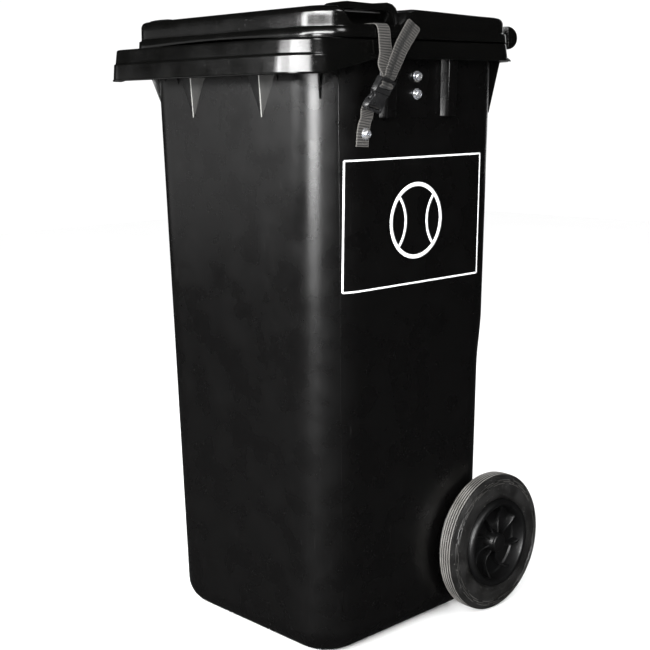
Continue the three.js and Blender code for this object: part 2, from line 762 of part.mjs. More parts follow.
function feedDisc() {
  const disc = rod([0, 0, FEED.bottom], [0, 0, 1], FEED.top - FEED.bottom, FEED.discRadius, 32);
  const pockets = [0, 1, 2].map((i) => {
    const angle = (i * 2 * Math.PI) / 3 - Math.PI / 2;
    const at = [FEED.pitch * Math.cos(angle), FEED.pitch * Math.sin(angle), FEED.bottom - 1];
    return rod(at, [0, 0, 1], 40, FEED.holeRadius, 20);
  });
  return cut(disc, ...pockets, rod([0, 0, FEED.bottom - 1], [0, 0, 1], 20, 3 + GAP, 12));
}

function feedMotor() {
  const top = FEED.bottom - 1 - HOPPER.sheet - GAP;
  return union(rod([0, 0, top - 38], [0, 0, 1], 38, 12, 16), rod([0, 0, top - 1], [0, 0, 1], 14, 3, 12));
}

function addFeed() {
  place('hopper', hopper(), MATERIAL.hopper);
  place('feed_disc', feedDisc(), MATERIAL.feed).position.set(0, FEED.y, 0);
  place('feed_motor', feedMotor(), MATERIAL.motor).position.set(0, FEED.y, 0);
}

// ---------------------------------------------------------------- power and controls
function battery() {
  const floor = WALL + GAP;
  const caseSolid = box([-90.5, -100, floor], [90.5, -23, floor + 160]);
  const posts = [-72, 72].map((x) => box([x - 7, -42, floor + 159], [x + 7, -30, floor + 168]));
  return union(caseSolid, ...posts);
}

function controlBox() {
  const { x, halfWidth, front, bottom, top } = CONTROL;
  const shell = box([x - halfWidth, front, bottom], [x + halfWidth, HOPPER.front - GAP, top]);
  const rockerSeat = box([x + 18, front + 18, top - 8], [x + 36, front + 44, top + 1]);
  const shafts = [-26, 2].map((dx) => rod([x + dx, front + 30, top - 10], [0, 0, 1], 20, 3 + GAP, 12));
  return cut(shell, rockerSeat, ...shafts);
}

function knob() {
  const skirt = rod([0, 0, CONTROL.top + 0.5], [0, 0, 1], 12, 11, 18, 9.5);
  const pointer = box([-1.2, -10, CONTROL.top + 11], [1.2, 0, CONTROL.top + 13.5]);
  return union(skirt, pointer, rod([0, 0, CONTROL.top - 8], [0, 0, 1], 10, 3, 12));
}

function rocker() {
  const outline = [[-11, 1.5], [0, 0.5], [11, 4], [9, -5], [-9, -5]];
  return slabAlongX(outline, -8, 8);
}

function addControls() {
  place('battery', battery(), MATERIAL.battery);
  place('control_box', controlBox(), MATERIAL.control);
  const { x, front, top } = CONTROL;
  place('speed_knob', knob(), MATERIAL.knob).position.set(x - 26, front + 30, 0);
  place('feed_knob', knob(), MATERIAL.knob).position.set(x + 2, front + 30, 0);
  place('power_rocker', rocker(), MATERIAL.rocker).position.set(x + 27, front + 31, top);
}

// ---------------------------------------------------------------- assembly
place('bin_body', binBody(), MATERIAL.bin);
place('lid', lidSolid(), MATERIAL.bin);
SIDES.forEach(([name, side]) => {
  place(`hinge_pin_${name}`, mirrored(hingePin(), side), MATERIAL.hub);
  addWheel(name, side);
  SIDE_BOLTS.heights.forEach((z, i) =>
    addBolt(`side_${name}_${['upper', 'lower'][i]}`, SIDE_BOLTS.y, z, side, BOLT_INNER),
  );
});
place('axle', rod([-229, WHEEL.y, WHEEL.radius], [1, 0, 0], 458, AXLE_RADIUS), MATERIAL.steel);
addBolt('strap', STRAP_BOLT.y, STRAP_BOLT.z, 1, wallX(STRAP_BOLT.z - 10) - WALL - GAP, WEBBING.thick + 0.6);
addStrap();
addThrowingUnit();
addFeed();
addControls();

export default group;
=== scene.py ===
# Looks for a strapped two-wheeled bin that houses a small ball-throwing unit.
import json
from math import copysign, cos, hypot, pi, radians, sin, sqrt

import bmesh
import bpy
from mathutils import Matrix, Vector
from mathutils.kdtree import KDTree


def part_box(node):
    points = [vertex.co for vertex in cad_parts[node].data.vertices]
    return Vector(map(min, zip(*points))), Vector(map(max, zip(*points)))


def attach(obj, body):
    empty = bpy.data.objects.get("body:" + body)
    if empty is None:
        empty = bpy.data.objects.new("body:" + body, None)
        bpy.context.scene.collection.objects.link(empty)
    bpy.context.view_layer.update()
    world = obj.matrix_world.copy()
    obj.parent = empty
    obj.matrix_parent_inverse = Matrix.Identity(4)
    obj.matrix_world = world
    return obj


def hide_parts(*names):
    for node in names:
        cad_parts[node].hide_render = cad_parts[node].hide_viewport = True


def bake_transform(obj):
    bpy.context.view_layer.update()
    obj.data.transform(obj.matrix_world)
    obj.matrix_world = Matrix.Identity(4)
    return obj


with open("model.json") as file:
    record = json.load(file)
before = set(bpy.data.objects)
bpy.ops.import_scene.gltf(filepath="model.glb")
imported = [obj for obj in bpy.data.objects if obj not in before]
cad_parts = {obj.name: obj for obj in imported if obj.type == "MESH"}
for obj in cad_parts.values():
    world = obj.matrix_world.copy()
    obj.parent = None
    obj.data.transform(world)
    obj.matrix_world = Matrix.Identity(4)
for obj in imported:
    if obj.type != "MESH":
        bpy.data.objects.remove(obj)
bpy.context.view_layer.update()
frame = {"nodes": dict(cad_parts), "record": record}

# ---- sizes
# Shapes are worked out in millimetres, as in the CAD source, and become metres in mesh_object().
METRE = 1000.0


def cad_box(node):
    """Lowest and highest corner of a CAD node, in millimetres."""
    return tuple(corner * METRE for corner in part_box(node))


BODY_LOW, BODY_HIGH = cad_box("bin_body")
LID_LOW, LID_HIGH = cad_box("lid")
TYRE_LOW, TYRE_HIGH = cad_box("tyre_right")
HINGE_LOW, HINGE_HIGH = cad_box("hinge_pin_right")

WALL = 4.0
BASE = {"width": 186.0, "front": 189.0, "corner": 68.0}
TOP = {"width": 215.5, "front": 197.6, "corner": 74.0, "z": 867.0}
BASE_FILLET = 41.0
BODY_RIM = 905.0
AXLE_BORE = 10.35  # radius
BACK_RECESS = {"depth": 7.0, "low": 400.0, "high": 490.0}
NOTCH = {"front": 122.0, "top": 150.0, "slope": 26.0}

LIP = {"width": BODY_HIGH.x, "front": -BODY_LOW.y, "back": 212.0, "corner": 60.0}
LIP_BOTTOM, LIP_STEP, LIP_TOP, SIDE_BOTTOM = 863.0, 889.0, 911.0, 884.0
LIP_RISE = (-222.0, -123.0)

LID = {"width": LID_HIGH.x, "front": -LID_LOW.y, "back": 204.0, "corner": 56.0}
LID_BOTTOM, LID_STEP, LID_LEDGE = LID_LOW.z, 925.0, 942.0
LID_THICK = 3.5
LID_ARCH = 5.0  # how far the middle of the front skirt stands up
LID_SINK = 5.0  # how far the dome falls towards the back
DOME_BACK = 174.0
RECESS = {"inner": 188.0, "front": -171.0, "back": -52.0, "floor": 930.5}
GRIP = {"middle": 205.0, "half": 11.0, "front": -196.0, "back": -50.0, "bottom": 950.5, "top": 961.5}

HINGE = (HINGE_LOW + HINGE_HIGH) / 2
BARREL = {"inner": 36.0, "outer": 60.0, "radius": 13.0, "lug": 12.0}
HANDLE = {"inner": 74.0, "outer": 163.0, "deep": 29.0, "tall": 37.0}

WHEEL_CENTRE = (TYRE_LOW + TYRE_HIGH) / 2
WHEEL = {"radius": (TYRE_HIGH.z - TYRE_LOW.z) / 2, "inner": TYRE_LOW.x, "outer": TYRE_HIGH.x}
RIM = 76.5

TYRE_WIDTH = TYRE_HIGH.x - TYRE_LOW.x
DASH_RINGS = (103.2, 100.2, 97.2)  # radii of the raised dashes on the sidewall

FIN_X = 80.0
GRIP_DIP = 950.0  # height of the dome beside each grip
WEBBING = {"width": 25.0, "thick": 1.8, "rib": 3.8}
Y_ACROSS = (0.0, 1.0, 0.0)
SIDES = (("right", 1), ("left", -1))


# ---- meshes as (points, faces)
def lerp(a, b, t):
    return a + (b - a) * t


def clamp(t):
    return min(1.0, max(0.0, t))


def smoothstep(t):
    t = clamp(t)
    return t * t * (3 - 2 * t)


def lerp_pair(a, b, t):
    return lerp(a[0], b[0], t), lerp(a[1], b[1], t)


def soft_min(a, b):
    """The smaller of two heights, with a rounded change from one to the other."""
    blend = 1.5
    h = clamp(0.5 + 0.5 * (b - a) / blend)
    return lerp(b, a, h) - blend * h * (1 - h)


def circle(radius, count):
    angles = [2 * pi * k / count for k in range(count)]
    return [(radius * cos(angle), radius * sin(angle)) for angle in angles]


def rectangle(low, high):
    return [(low[0], low[1]), (high[0], low[1]), (high[0], high[1]), (low[0], high[1])]


def rounded(width, front, back, corner, arc=14, across=1, along=1):
    """A rounded rectangle as (x, y) points, anticlockwise from above, starting on the +X side."""
    corner = max(corner, 2.0)
    centres = (
        (width - corner, back - corner),
        (corner - width, back - corner),
        (corner - width, corner - front),
        (width - corner, corner - front),
    )
    points = []
    for quarter, (cx, cy) in enumerate(centres):
        for step in range(arc + 1):
            angle = (quarter + step / arc) * pi / 2
            points.append((cx + corner * cos(angle), cy + corner * sin(angle)))
        nx, ny = centres[(quarter + 1) % 4]
        angle = (quarter + 1) * pi / 2
        start, end = points[-1], (nx + corner * cos(angle), ny + corner * sin(angle))
        runs = (across, along)[quarter % 2]
        points += [lerp_pair(start, end, step / runs) for step in range(1, runs)]
    return points


def grown(plan, by):
    return {key: value + by for key, value in plan.items()}


def skin(rings, caps=(True, True), closed=False):
    """Quads between rings that have the same number of points, each ring a closed loop."""
    count = len(rings[0])
    points = [point for ring in rings for point in ring]
    faces = []
    pairs = len(rings) if closed else len(rings) - 1
    for i in range(pairs):
        low, high = i * count, ((i + 1) % len(rings)) * count
        for k in range(count):
            n = (k + 1) % count
            faces.append((low + k, low + n, high + n, high + k))
    if not closed and caps[0]:
        faces.append(tuple(reversed(range(count))))
    if not closed and caps[1]:
        faces.append(tuple(range(len(points) - count, len(points))))
    return points, faces


def placed(outline, axis, at):
    """Flat points put at one place along an axis. They hold the two other coordinates in order."""
    return [(*point[:axis], at, *point[axis:]) for point in outline]


def prism(outline, axis, low, high):
    return skin([placed(outline, axis, low), placed(outline, axis, high)])


def block(low, high):
    return prism(rectangle(low, high), 2, low[2], high[2])


def turned(profile, sides, centre=(0.0, 0.0, 0.0), shape=None):
    """A lathe about X. The profile is a closed loop of (along, radius) pairs."""
    cx, cy, cz = centre
    rings = []
    for step in range(sides):
        angle = step / sides * 2 * pi
        ring = [shape(*pair, angle) for pair in profile] if shape else profile
        rings.append([(cx + x, cy + r * cos(angle), cz + r * sin(angle)) for x, r in ring])
    return skin(rings, closed=True)


def joined(*parts):
    points, faces = [], []
    for part_points, part_faces in parts:
        faces += [tuple(i + len(points) for i in face) for face in part_faces]
        points += part_points
    return points, faces


def mirrored(part, side=-1):
    if side > 0:
        return part
    points, faces = part
    return [(-x, y, z) for x, y, z in points], [tuple(reversed(face)) for face in faces]


def both_sides(part):
    return joined(part, mirrored(part))


def moved(part, matrix):
    points, faces = part
    return [tuple(matrix @ Vector(point)) for point in points], faces


def scene_object(name, data):
    obj = bpy.data.objects.new(name, data)
    bpy.context.scene.collection.objects.link(obj)
    return obj


def mesh_object(name, part):
    mesh = bpy.data.meshes.new(name)
    points, faces = part
    mesh.from_pydata([tuple(c / METRE for c in point) for point in points], [], faces)
    bm = bmesh.new()
    bm.from_mesh(mesh)
    bmesh.ops.remove_doubles(bm, verts=bm.verts, dist=1e-6)
    bmesh.ops.recalc_face_normals(bm, faces=bm.faces)
    bm.to_mesh(mesh)
    bm.free()
    return scene_object(name, mesh)


def modify(obj, kind, **settings):
    modifier = obj.modifiers.new(kind.lower(), kind)
    for key, value in settings.items():
        setattr(modifier, key, value)


def reshape(obj, kind, **settings):
    """Makes the result of a modifier the object's mesh."""
    modify(obj, kind, **settings)
    bpy.context.view_layer.update()
    evaluated = obj.evaluated_get(bpy.context.evaluated_depsgraph_get())
    mesh = bpy.data.meshes.new_from_object(evaluated)
    obj.modifiers.clear()
    obj.data = mesh


def cut(obj, *tools):
    """Subtracts other objects from obj, and removes them."""
    for tool in tools:
        reshape(obj, "BOOLEAN", operation="DIFFERENCE", solver="EXACT", object=tool)
        bpy.data.objects.remove(tool)
    return obj


def bevel_settings(width, segments, angle):
    by_angle = {"limit_method": "ANGLE", "angle_limit": radians(angle)}
    return {"width": width / METRE, "segments": segments, **by_angle}


def finished(obj, body, slot, material, node=None, bevel=0.0, segments=3, smooth=40.0):
    """Gives a piece its shading, edge rounding, material and place in the frame."""
    obj.data.materials.append(material)
    if bevel:
        reshape(obj, "BEVEL", **bevel_settings(bevel, segments, smooth))
    obj.data.shade_smooth()
    obj.data.set_sharp_from_angle(angle=radians(smooth))
    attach(obj, body)
    if node:
        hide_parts(node)
    return obj


def piece(name, part, *args, **kwargs):
    return finished(mesh_object(name, part), *args, **kwargs)


def bin_piece(name, part, material=None, **rounding):
    return piece(name, part, "bin", "black_plastic", material or BLACK_BODY, "bin_body", **rounding)


def lid_piece(name, part, **rounding):
    return piece(name, part, "lid", "black_plastic", BLACK_LID, "lid", **rounding)


def repaint(obj, choose):
    """Gives each face the material that choose(centre, normal) names. None leaves it as it is."""
    materials = obj.data.materials
    for face in obj.data.polygons:
        material = choose(face.center * METRE, face.normal)
        if material and material.name not in materials:
            materials.append(material)
        if material:
            face.material_index = materials.find(material.name)


# ---- materials
def add(tree, kind, inputs=None, **settings):
    node = tree.nodes.new("ShaderNode" + kind)
    for key, value in settings.items():
        setattr(node, key, value)
    for key, value in (inputs or {}).items():
        if isinstance(value, bpy.types.NodeSocket):
            tree.links.new(value, node.inputs[key])
        else:
            node.inputs[key].default_value = value
    return node


def noise(tree, where, scale, detail=3.0, stretch=None, rotation=(0, 0, 0)):
    if stretch:
        mapping = add(tree, "Mapping", {"Vector": where, "Scale": stretch, "Rotation": rotation})
        where = mapping.outputs["Vector"]
    return add(tree, "TexNoise", {"Vector": where, "Scale": scale, "Detail": detail}).outputs["Fac"]


def between(tree, value, low, high, start=0.0, end=1.0):
    node = add(tree, "MapRange", {"From Min": low, "From Max": high, "To Min": start, "To Max": end})
    tree.links.new(value, node.inputs["Value"])
    return node.outputs["Result"]


def maths(tree, operation, a, b=0.0):
    return add(tree, "Math", {0: a, 1: b}, operation=operation).outputs[0]


def mixed(tree, share, a, b):
    node = add(tree, "Mix", {"Factor": share}, data_type="RGBA")
    for socket, colour in ((node.inputs[6], a), (node.inputs[7], b)):
        if isinstance(colour, bpy.types.NodeSocket):
            tree.links.new(colour, socket)
        else:
            socket.default_value = (*colour, 1.0)
    return node.outputs[2]


def start_material(name, metallic=0.0, ior=1.5, sheen=0.0):
    material = bpy.data.materials.new(name)
    material.use_nodes = True
    tree = material.node_tree
    shader = tree.nodes["Principled BSDF"]
    shader.inputs["Metallic"].default_value = metallic
    shader.inputs["IOR"].default_value = ior
    shader.inputs["Sheen Weight"].default_value = sheen
    return material, tree, shader, add(tree, "TexCoord").outputs["Object"]


def finish_material(tree, shader, colour, roughness, bumps):
    """bumps are (height, distance in metres, strength), the broadest first."""
    normal = None
    for height, distance, strength in bumps:
        node = add(tree, "Bump", {"Height": height, "Distance": distance, "Strength": strength})
        if normal:
            tree.links.new(normal, node.inputs["Normal"])
        normal = node.outputs["Normal"]
    tree.links.new(colour, shader.inputs["Base Color"])
    tree.links.new(roughness, shader.inputs["Roughness"])
    tree.links.new(normal, shader.inputs["Normal"])


def plastic(name, colour, roughness, wave=0.0004, scuffs=0.5, dust=0.35):
    """Moulded plastic with faint sink waves, a fine grain, scuffs in two directions and dust."""
    material, tree, shader, where = start_material(name)
    broad = noise(tree, where, 7.0, 2.0)
    patches = noise(tree, where, 23.0, 5.0)
    scratch_a = noise(tree, where, 1.0, 2.0, (900.0, 900.0, 28.0), (0.12, 0.22, 0.0))
    scratch_b = noise(tree, where, 1.0, 2.0, (60.0, 60.0, 1400.0), (0.5, 0.3, 0.2))
    long, short = between(tree, scratch_a, 0.70, 0.76), between(tree, scratch_b, 0.72, 0.78)
    lines = maths(tree, "MAXIMUM", long, short)
    scuff = maths(tree, "MULTIPLY", lines, between(tree, patches, 0.45, 0.62, 0.0, scuffs))
    specks = between(tree, noise(tree, where, 420.0, 1.0), 0.735, 0.76, 0.0, dust)
    film = between(tree, patches, 0.35, 0.75, 0.0, 0.10)
    light = tuple(min(1.0, c * 6 + 0.02) for c in colour)
    dusty = mixed(tree, film, colour, tuple(c * 2.0 + 0.001 for c in colour))
    shade = mixed(tree, maths(tree, "MAXIMUM", scuff, specks), dusty, light)
    rough = between(tree, patches, 0.3, 0.7, roughness - 0.04, roughness + 0.05)
    rough = maths(tree, "ADD", rough, maths(tree, "MULTIPLY", scuff, 0.25))
    fine = noise(tree, where, 2600.0, 2.0)
    bumps = [(broad, wave, 0.6), (fine, 0.00004, 0.5), (lines, 0.00006, 0.4)]
    finish_material(tree, shader, shade, rough, bumps)
    return material


def rubber(name, colour, roughness):
    """Solid rubber that is greyed with dust in blotches, with a dull pitted surface."""
    material, tree, shader, where = start_material(name, ior=1.48)
    blotch = between(tree, noise(tree, where, 34.0, 6.0), 0.38, 0.68)
    pits = noise(tree, where, 900.0, 3.0)
    specks = between(tree, noise(tree, where, 330.0, 1.0), 0.70, 0.74, 0.0, 0.8)
    dusty = mixed(tree, blotch, colour, tuple(c * 1.7 + 0.004 for c in colour))
    shade = mixed(tree, specks, dusty, (0.10, 0.097, 0.09))
    rough = between(tree, blotch, 0.0, 1.0, roughness - 0.12, roughness + 0.08)
    finish_material(tree, shader, shade, rough, [(pits, 0.0002, 0.6)])
    return material


def metal(name, colour, roughness, tint=None, metallic=1.0):
    """Drawn or plated metal with fine lines along X and a cloudy finish."""
    material, tree, shader, where = start_material(name, metallic=metallic)
    cloudy = noise(tree, where, 160.0, 4.0)
    drawn = noise(tree, where, 1.0, 2.0, (40.0, 900.0, 900.0))
    tint = tint or tuple(c * 0.72 for c in colour)
    shade = mixed(tree, between(tree, cloudy, 0.4, 0.7), colour, tint)
    rough = between(tree, cloudy, 0.3, 0.7, roughness - 0.06, roughness + 0.12)
    finish_material(tree, shader, shade, rough, [(drawn, 0.00003, 0.5)])
    return material


def painted(name, colour, roughness):
    """Powder coat: an even orange peel with a little dust."""
    material, tree, shader, where = start_material(name)
    peel = noise(tree, where, 520.0, 1.0)
    worn = between(tree, noise(tree, where, 60.0, 6.0), 0.62, 0.72, 0.0, 0.6)
    shade = mixed(tree, worn, colour, tuple(c * 1.8 + 0.02 for c in colour))
    rough = between(tree, peel, 0.3, 0.7, roughness - 0.05, roughness + 0.08)
    finish_material(tree, shader, shade, rough, [(peel, 0.00012, 0.7)])
    return material


def woven(name, light, dark, band=0.0):
    """Polypropylene webbing. U runs across it from 0 to 1 and V along it in metres.

    The band is how far a stripe near its middle goes towards the dark colour.
    """
    material, tree, shader, where = start_material(name, ior=1.46, sheen=0.05)
    shader.inputs["Sheen Roughness"].default_value = 0.6

    def wave(operation, place, turn):
        return maths(tree, operation, maths(tree, "MULTIPLY", place, turn))

    def from_line(place):
        return maths(tree, "ABSOLUTE", maths(tree, "SUBTRACT", across, place))

    uv = add(tree, "SeparateXYZ", {"Vector": add(tree, "UVMap", uv_map="weave").outputs["UV"]})
    across, along = uv.outputs["X"], uv.outputs["Y"]
    turn = 2 * pi / (WEBBING["rib"] / METRE)
    ribs = between(tree, wave("COSINE", along, turn), -1.0, 1.0)
    yarns = between(tree, wave("SINE", across, 2 * pi * 17), -1.0, 1.0)
    edge = between(tree, from_line(0.5), 0.41, 0.46)
    stitches = between(tree, wave("COSINE", along, turn * 2), -0.2, 0.7)
    selvedge = maths(tree, "MULTIPLY", edge, stitches)
    weave = maths(tree, "MULTIPLY", ribs, between(tree, yarns, 0.0, 1.0, 0.55, 1.0))
    fuzz = noise(tree, where, 1500.0, 3.0)
    worn = maths(tree, "MULTIPLY", weave, 0.95)
    worn = maths(tree, "ADD", worn, between(tree, fuzz, 0.3, 0.8, 0.0, 0.15))
    shade = mixed(tree, worn, dark, light)
    shade = mixed(tree, selvedge, shade, tuple(c * 1.7 for c in light))
    shade = mixed(tree, between(tree, from_line(0.42), 0.1, 0.2, band, 0.0), shade, dark)
    rough = between(tree, fuzz, 0.2, 0.8, 0.6, 0.85)
    finish_material(tree, shader, shade, rough, [(yarns, 0.00025, 0.5), (fuzz, 0.0002, 0.5)])
    return material


BLACK_BODY = plastic("black_body", (0.0013, 0.0012, 0.0012), 0.28, wave=0.00022)
LID_TOP_FACE = plastic("lid_top_face", (0.0016, 0.0016, 0.0015), 0.52, dust=0.8)
BLACK_LID = plastic("black_lid", (0.0013, 0.0013, 0.0012), 0.16, dust=0.2, scuffs=0.25)
BLACK_HUB = plastic("black_hub", (0.0016, 0.0016, 0.0017), 0.40, scuffs=0.2, dust=0.6)
# Painted highlight for the front fins' ridges and painted light for their faces towards the strap side: lighter
# greys that stand in for light.
FIN_PAINTED_HIGHLIGHT = plastic("fin_ridge_highlight", (0.20, 0.20, 0.19), 0.34, dust=0.6)
FIN_PAINTED_LIGHT = plastic("fin_face_painted_light", (0.0180, 0.0178, 0.0170), 0.34, dust=0.6)
BUCKLE_BLACK = plastic("buckle_black", (0.0090, 0.0090, 0.0094), 0.26, scuffs=0.2, dust=0.2)
TYRE = rubber("tyre_rubber", (0.0060, 0.0058, 0.0056), 0.44)
# The tread ridges' colour: dust plus a painted sheen.
TREAD_DUST_AND_SHEEN = rubber("tyre_tread_dust_and_sheen", (0.110, 0.106, 0.099), 0.44)
# The raised sidewall dashes' colour is a painted highlight.
DASH_PAINTED_HIGHLIGHT = rubber("tyre_dash_highlight", (0.030, 0.029, 0.027), 0.44)
ZINC = metal("zinc_plate", (0.72, 0.74, 0.80), 0.22, tint=(0.56, 0.54, 0.50), metallic=0.86)
TAIL_WEB = woven("tail_webbing", (0.046, 0.043, 0.0395), (0.0020, 0.0020, 0.0019), band=0.75)
WEB = woven("webbing", (0.078, 0.0735, 0.068), (0.0030, 0.0029, 0.0027))
PRINT = plastic("white_print", (0.80, 0.81, 0.82), 0.45, scuffs=0.1, dust=0.0)

# The finish of each CAD node that stays visible, by its material slot.
CAD_FINISHES = {
    "steel": metal("drawn_steel", (0.50, 0.51, 0.52), 0.32),
    "motor_steel": metal("motor_can", (0.20, 0.21, 0.22), 0.36),
    "grey_paint": painted("grey_paint", (0.12, 0.13, 0.14), 0.45),
    "dark_plastic": plastic("dark_plastic", (0.030, 0.033, 0.038), 0.5),
    "white_plastic": plastic("white_plastic", (0.62, 0.62, 0.58), 0.42, scuffs=0.1, dust=0.05),
    "battery_case": plastic("battery_case", (0.028, 0.030, 0.035), 0.55),
    "control_plastic": plastic("control_plastic", (0.020, 0.021, 0.023), 0.5),
    "knob_plastic": plastic("knob_plastic", (0.010, 0.010, 0.010), 0.35),
    "red_plastic": plastic("red_plastic", (0.45, 0.02, 0.015), 0.3),
    "throw_rubber": rubber("throw_rubber", (0.10, 0.13, 0.035), 0.8),
    "zinc": ZINC,
    "hub_plastic": BLACK_HUB,
}


# ---- camera, lights and floor
def add_camera():
    data = bpy.data.cameras.new("camera")
    data.sensor_width = 36.0
    data.lens = 67.3
    data.shift_y = -0.054
    camera = scene_object("camera", data)
    yaw, down, roll = 0.813, 0.1508, -0.0154
    place = (1.4201, -1.3461, 0.8214)
    ahead = Vector((-sin(yaw) * cos(down), cos(yaw) * cos(down), -sin(down)))
    right = Vector((cos(yaw), sin(yaw), 0.0))
    up = right.cross(ahead)
    tilt = Matrix.Rotation(roll, 3, -ahead)
    turn = Matrix((tilt @ right, tilt @ up, -ahead)).transposed()
    camera.matrix_world = Matrix.Translation(place) @ turn.to_4x4()
    bpy.context.scene.camera = camera


# Name, place, what it points at, width, height and power.
LIGHTS = (
    ("left_panel", (-1.65, -1.23, 0.74), (0, -0.2, 0.74), 1.8, 0.7, 1.7),
    ("lip_box", (0.72, -2.6, 1.46), (0.2, -0.2, 0.92), 5.1, 0.3, 118),
    ("high_box", (1.76, -2.6, 1.78), (0.2, -0.2, 0.93), 3.2, 0.34, 85),
    ("lid_box", (-1.05, -2.2, 1.13), (0.2, -0.2, 0.93), 0.9, 0.2, 16),
    ("strip", (0.76, -2.45, 0.72), (0.2, -0.2, 0.72), 0.9, 0.5, 40),
    ("back_panel", (-1.3, 2.25, 1.2), (0, 0, 0.7), 1.6, 1.4, 8),
    ("right_panel", (2.5, -0.3, 2.1), (0.2, -0.1, 0.8), 0.8, 0.6, 15),
)


def add_area_light(name, at, towards, width, height, power):
    data = bpy.data.lights.new(name, "AREA")
    data.shape = "RECTANGLE"
    data.size, data.size_y = width, height
    data.energy = power
    light = scene_object(name, data)
    aim = Vector(towards) - Vector(at)
    light.matrix_world = Matrix.Translation(at) @ aim.to_track_quat("-Z", "Y").to_matrix().to_4x4()


def add_studio():
    """White surroundings that light the object and dim reflections of them, as flags would."""
    world = bpy.data.worlds.new("studio")
    bpy.context.scene.world = world
    bpy.context.scene.view_settings.view_transform = "Standard"
    world.use_nodes = True
    tree = world.node_tree
    background = tree.nodes["Background"]
    reflected = add(tree, "LightPath").outputs["Is Glossy Ray"]
    tree.links.new(between(tree, reflected, 0.0, 1.0, 1.06, 0.014), background.inputs["Strength"])
    background.inputs["Color"].default_value = (1.0, 1.0, 1.0, 1.0)

    reach = 6000  # of the floor from the middle, in millimetres like the rest
    corners = [(x, y, -1) for x, y in rectangle((-reach, -reach), (reach, reach))]
    floor = mesh_object("floor", (corners, [(0, 1, 2, 3)]))
    material, tree, shader, where = start_material("floor")
    paper = mixed(tree, noise(tree, where, 3.0), (0.955, 0.955, 0.955), (0.975, 0.975, 0.975))
    reflected = add(tree, "LightPath").outputs["Is Glossy Ray"]
    tree.links.new(mixed(tree, reflected, paper, (0.006, 0.006, 0.006)), shader.inputs["Base Color"])
    shader.inputs["Roughness"].default_value = 0.9
    floor.data.materials.append(material)
    for light in LIGHTS:
        add_area_light(*light)


# ---- bin body
def body_plan(z):
    rise = z / TOP["z"]
    plan = {key: lerp(BASE[key], TOP[key], rise) for key in ("width", "front", "corner")}
    recess = smoothstep((z - BACK_RECESS["low"]) / (BACK_RECESS["high"] - BACK_RECESS["low"]))
    plan["back"] = plan["front"] - BACK_RECESS["depth"] * (1 - recess)
    return plan


def body_solid(inset, top):
    fillet = BASE_FILLET - inset
    rings = []
    for step in range(10, -1, -1):
        turn = step / 10 * pi / 2
        z = inset + fillet * (1 - sin(turn))
        plan = grown(body_plan(z), -inset - fillet * (1 - cos(turn)))
        rings.append(placed(rounded(**plan), 2, z))
    low, high = BACK_RECESS["low"], BACK_RECESS["high"]
    heights = [lerp(low, high, step / 8) for step in range(9)] + [top]
    rings += [placed(rounded(**grown(body_plan(z), -inset)), 2, z) for z in heights]
    return mesh_object("body_solid", skin(rings))


def notch_solid(inset):
    """The step at the bottom of the back, where the axle and the wheels are."""
    front, top, slope = NOTCH["front"] - inset, NOTCH["top"] + inset, NOTCH["slope"]
    outline = [(front, -5), (230, -5), (230, top), (front + slope, top), (front, top - slope)]
    return mesh_object("notch", prism(outline, 0, -260, 260))


def add_bin_shell():
    shell = cut(body_solid(0.0, BODY_RIM + 3.6), notch_solid(0.0))
    cavity = cut(body_solid(WALL, BODY_RIM + 60), notch_solid(WALL))
    bore = [(WHEEL_CENTRE.y + y, WHEEL_CENTRE.z + z) for y, z in circle(AXLE_BORE, 24)]
    cut(shell, cavity, mesh_object("bore", prism(bore, 0, -240, 240)))
    finished(shell, "bin", "black_plastic", BLACK_BODY, "bin_body", smooth=32.0)
    shell.name = "bin_shell"


def lip_lower_edge(y):
    rise = (y - LIP_RISE[0]) / (LIP_RISE[1] - LIP_RISE[0])
    return lerp(LIP_BOTTOM, SIDE_BOTTOM, clamp(rise))


def add_lip():
    detail = {"arc": 18, "across": 16, "along": 40}

    def ring(offset, height, above_edge=False):
        """A ring at a height, which is counted from the lip's lower edge if above_edge is true."""
        plan = rounded(**grown(LIP, offset), **detail)
        return [(x, y, height + (lip_lower_edge(y) if above_edge else 0.0)) for x, y in plan]

    outside = (
        (-0.3, 0.0, True), (0.0, 0.5, True), (0.0, 2.0, True), (-1.2, 2.8, True), (-1.35, 4.0, True),
        (-2.8, LIP_STEP - 2.4), (-2.95, LIP_STEP - 1.2), (-3.4, LIP_STEP), (-4.9, LIP_STEP + 0.4),
        (-5.4, LIP_STEP + 1.2), (-5.55, LIP_STEP + 2.4), (-7.6, LIP_TOP - 3.6),
        (-7.75, LIP_TOP - 2.4), (-8.4, LIP_TOP - 0.9), (-10.0, LIP_TOP),
    )
    inside = (
        (-12.2, LIP_TOP - WALL), (-9.0, LIP_STEP - 1.0), (-7.0, LIP_STEP - 1.6),
        (-4.0, 0.5, True), (-3.6, 0.0, True),
    )
    mouth = rounded(**grown(body_plan(BODY_RIM), -2.0), **detail)
    rings = [ring(*step) for step in outside]
    rings += [placed(mouth, 2, LIP_TOP), placed(mouth, 2, LIP_TOP - WALL)]
    rings += [ring(*step) for step in inside]
    bin_piece("bin_lip", skin(rings, closed=True), BLACK_LID, smooth=34.0)


def front_fin(x):
    """A wedge with a flat narrow ridge, which gets wider and deeper towards the lip."""
    rings = []
    for step in range(9):
        t = step / 8 * 1.5
        z = lerp(806, 864, t)
        wall = -body_plan(z)["front"]
        half, ridge = lerp(1.4, 29, t), wall - 1.2 - 3.2 * t
        loop = [(x - half, wall - 0.3), (x - 1.2, ridge), (x + 1.2, ridge), (x + half, wall - 0.3)]
        loop += [(x + half, wall + 1.5), (x - half, wall + 1.5)]
        rings.append(placed(loop, 2, z))
    return skin(rings)


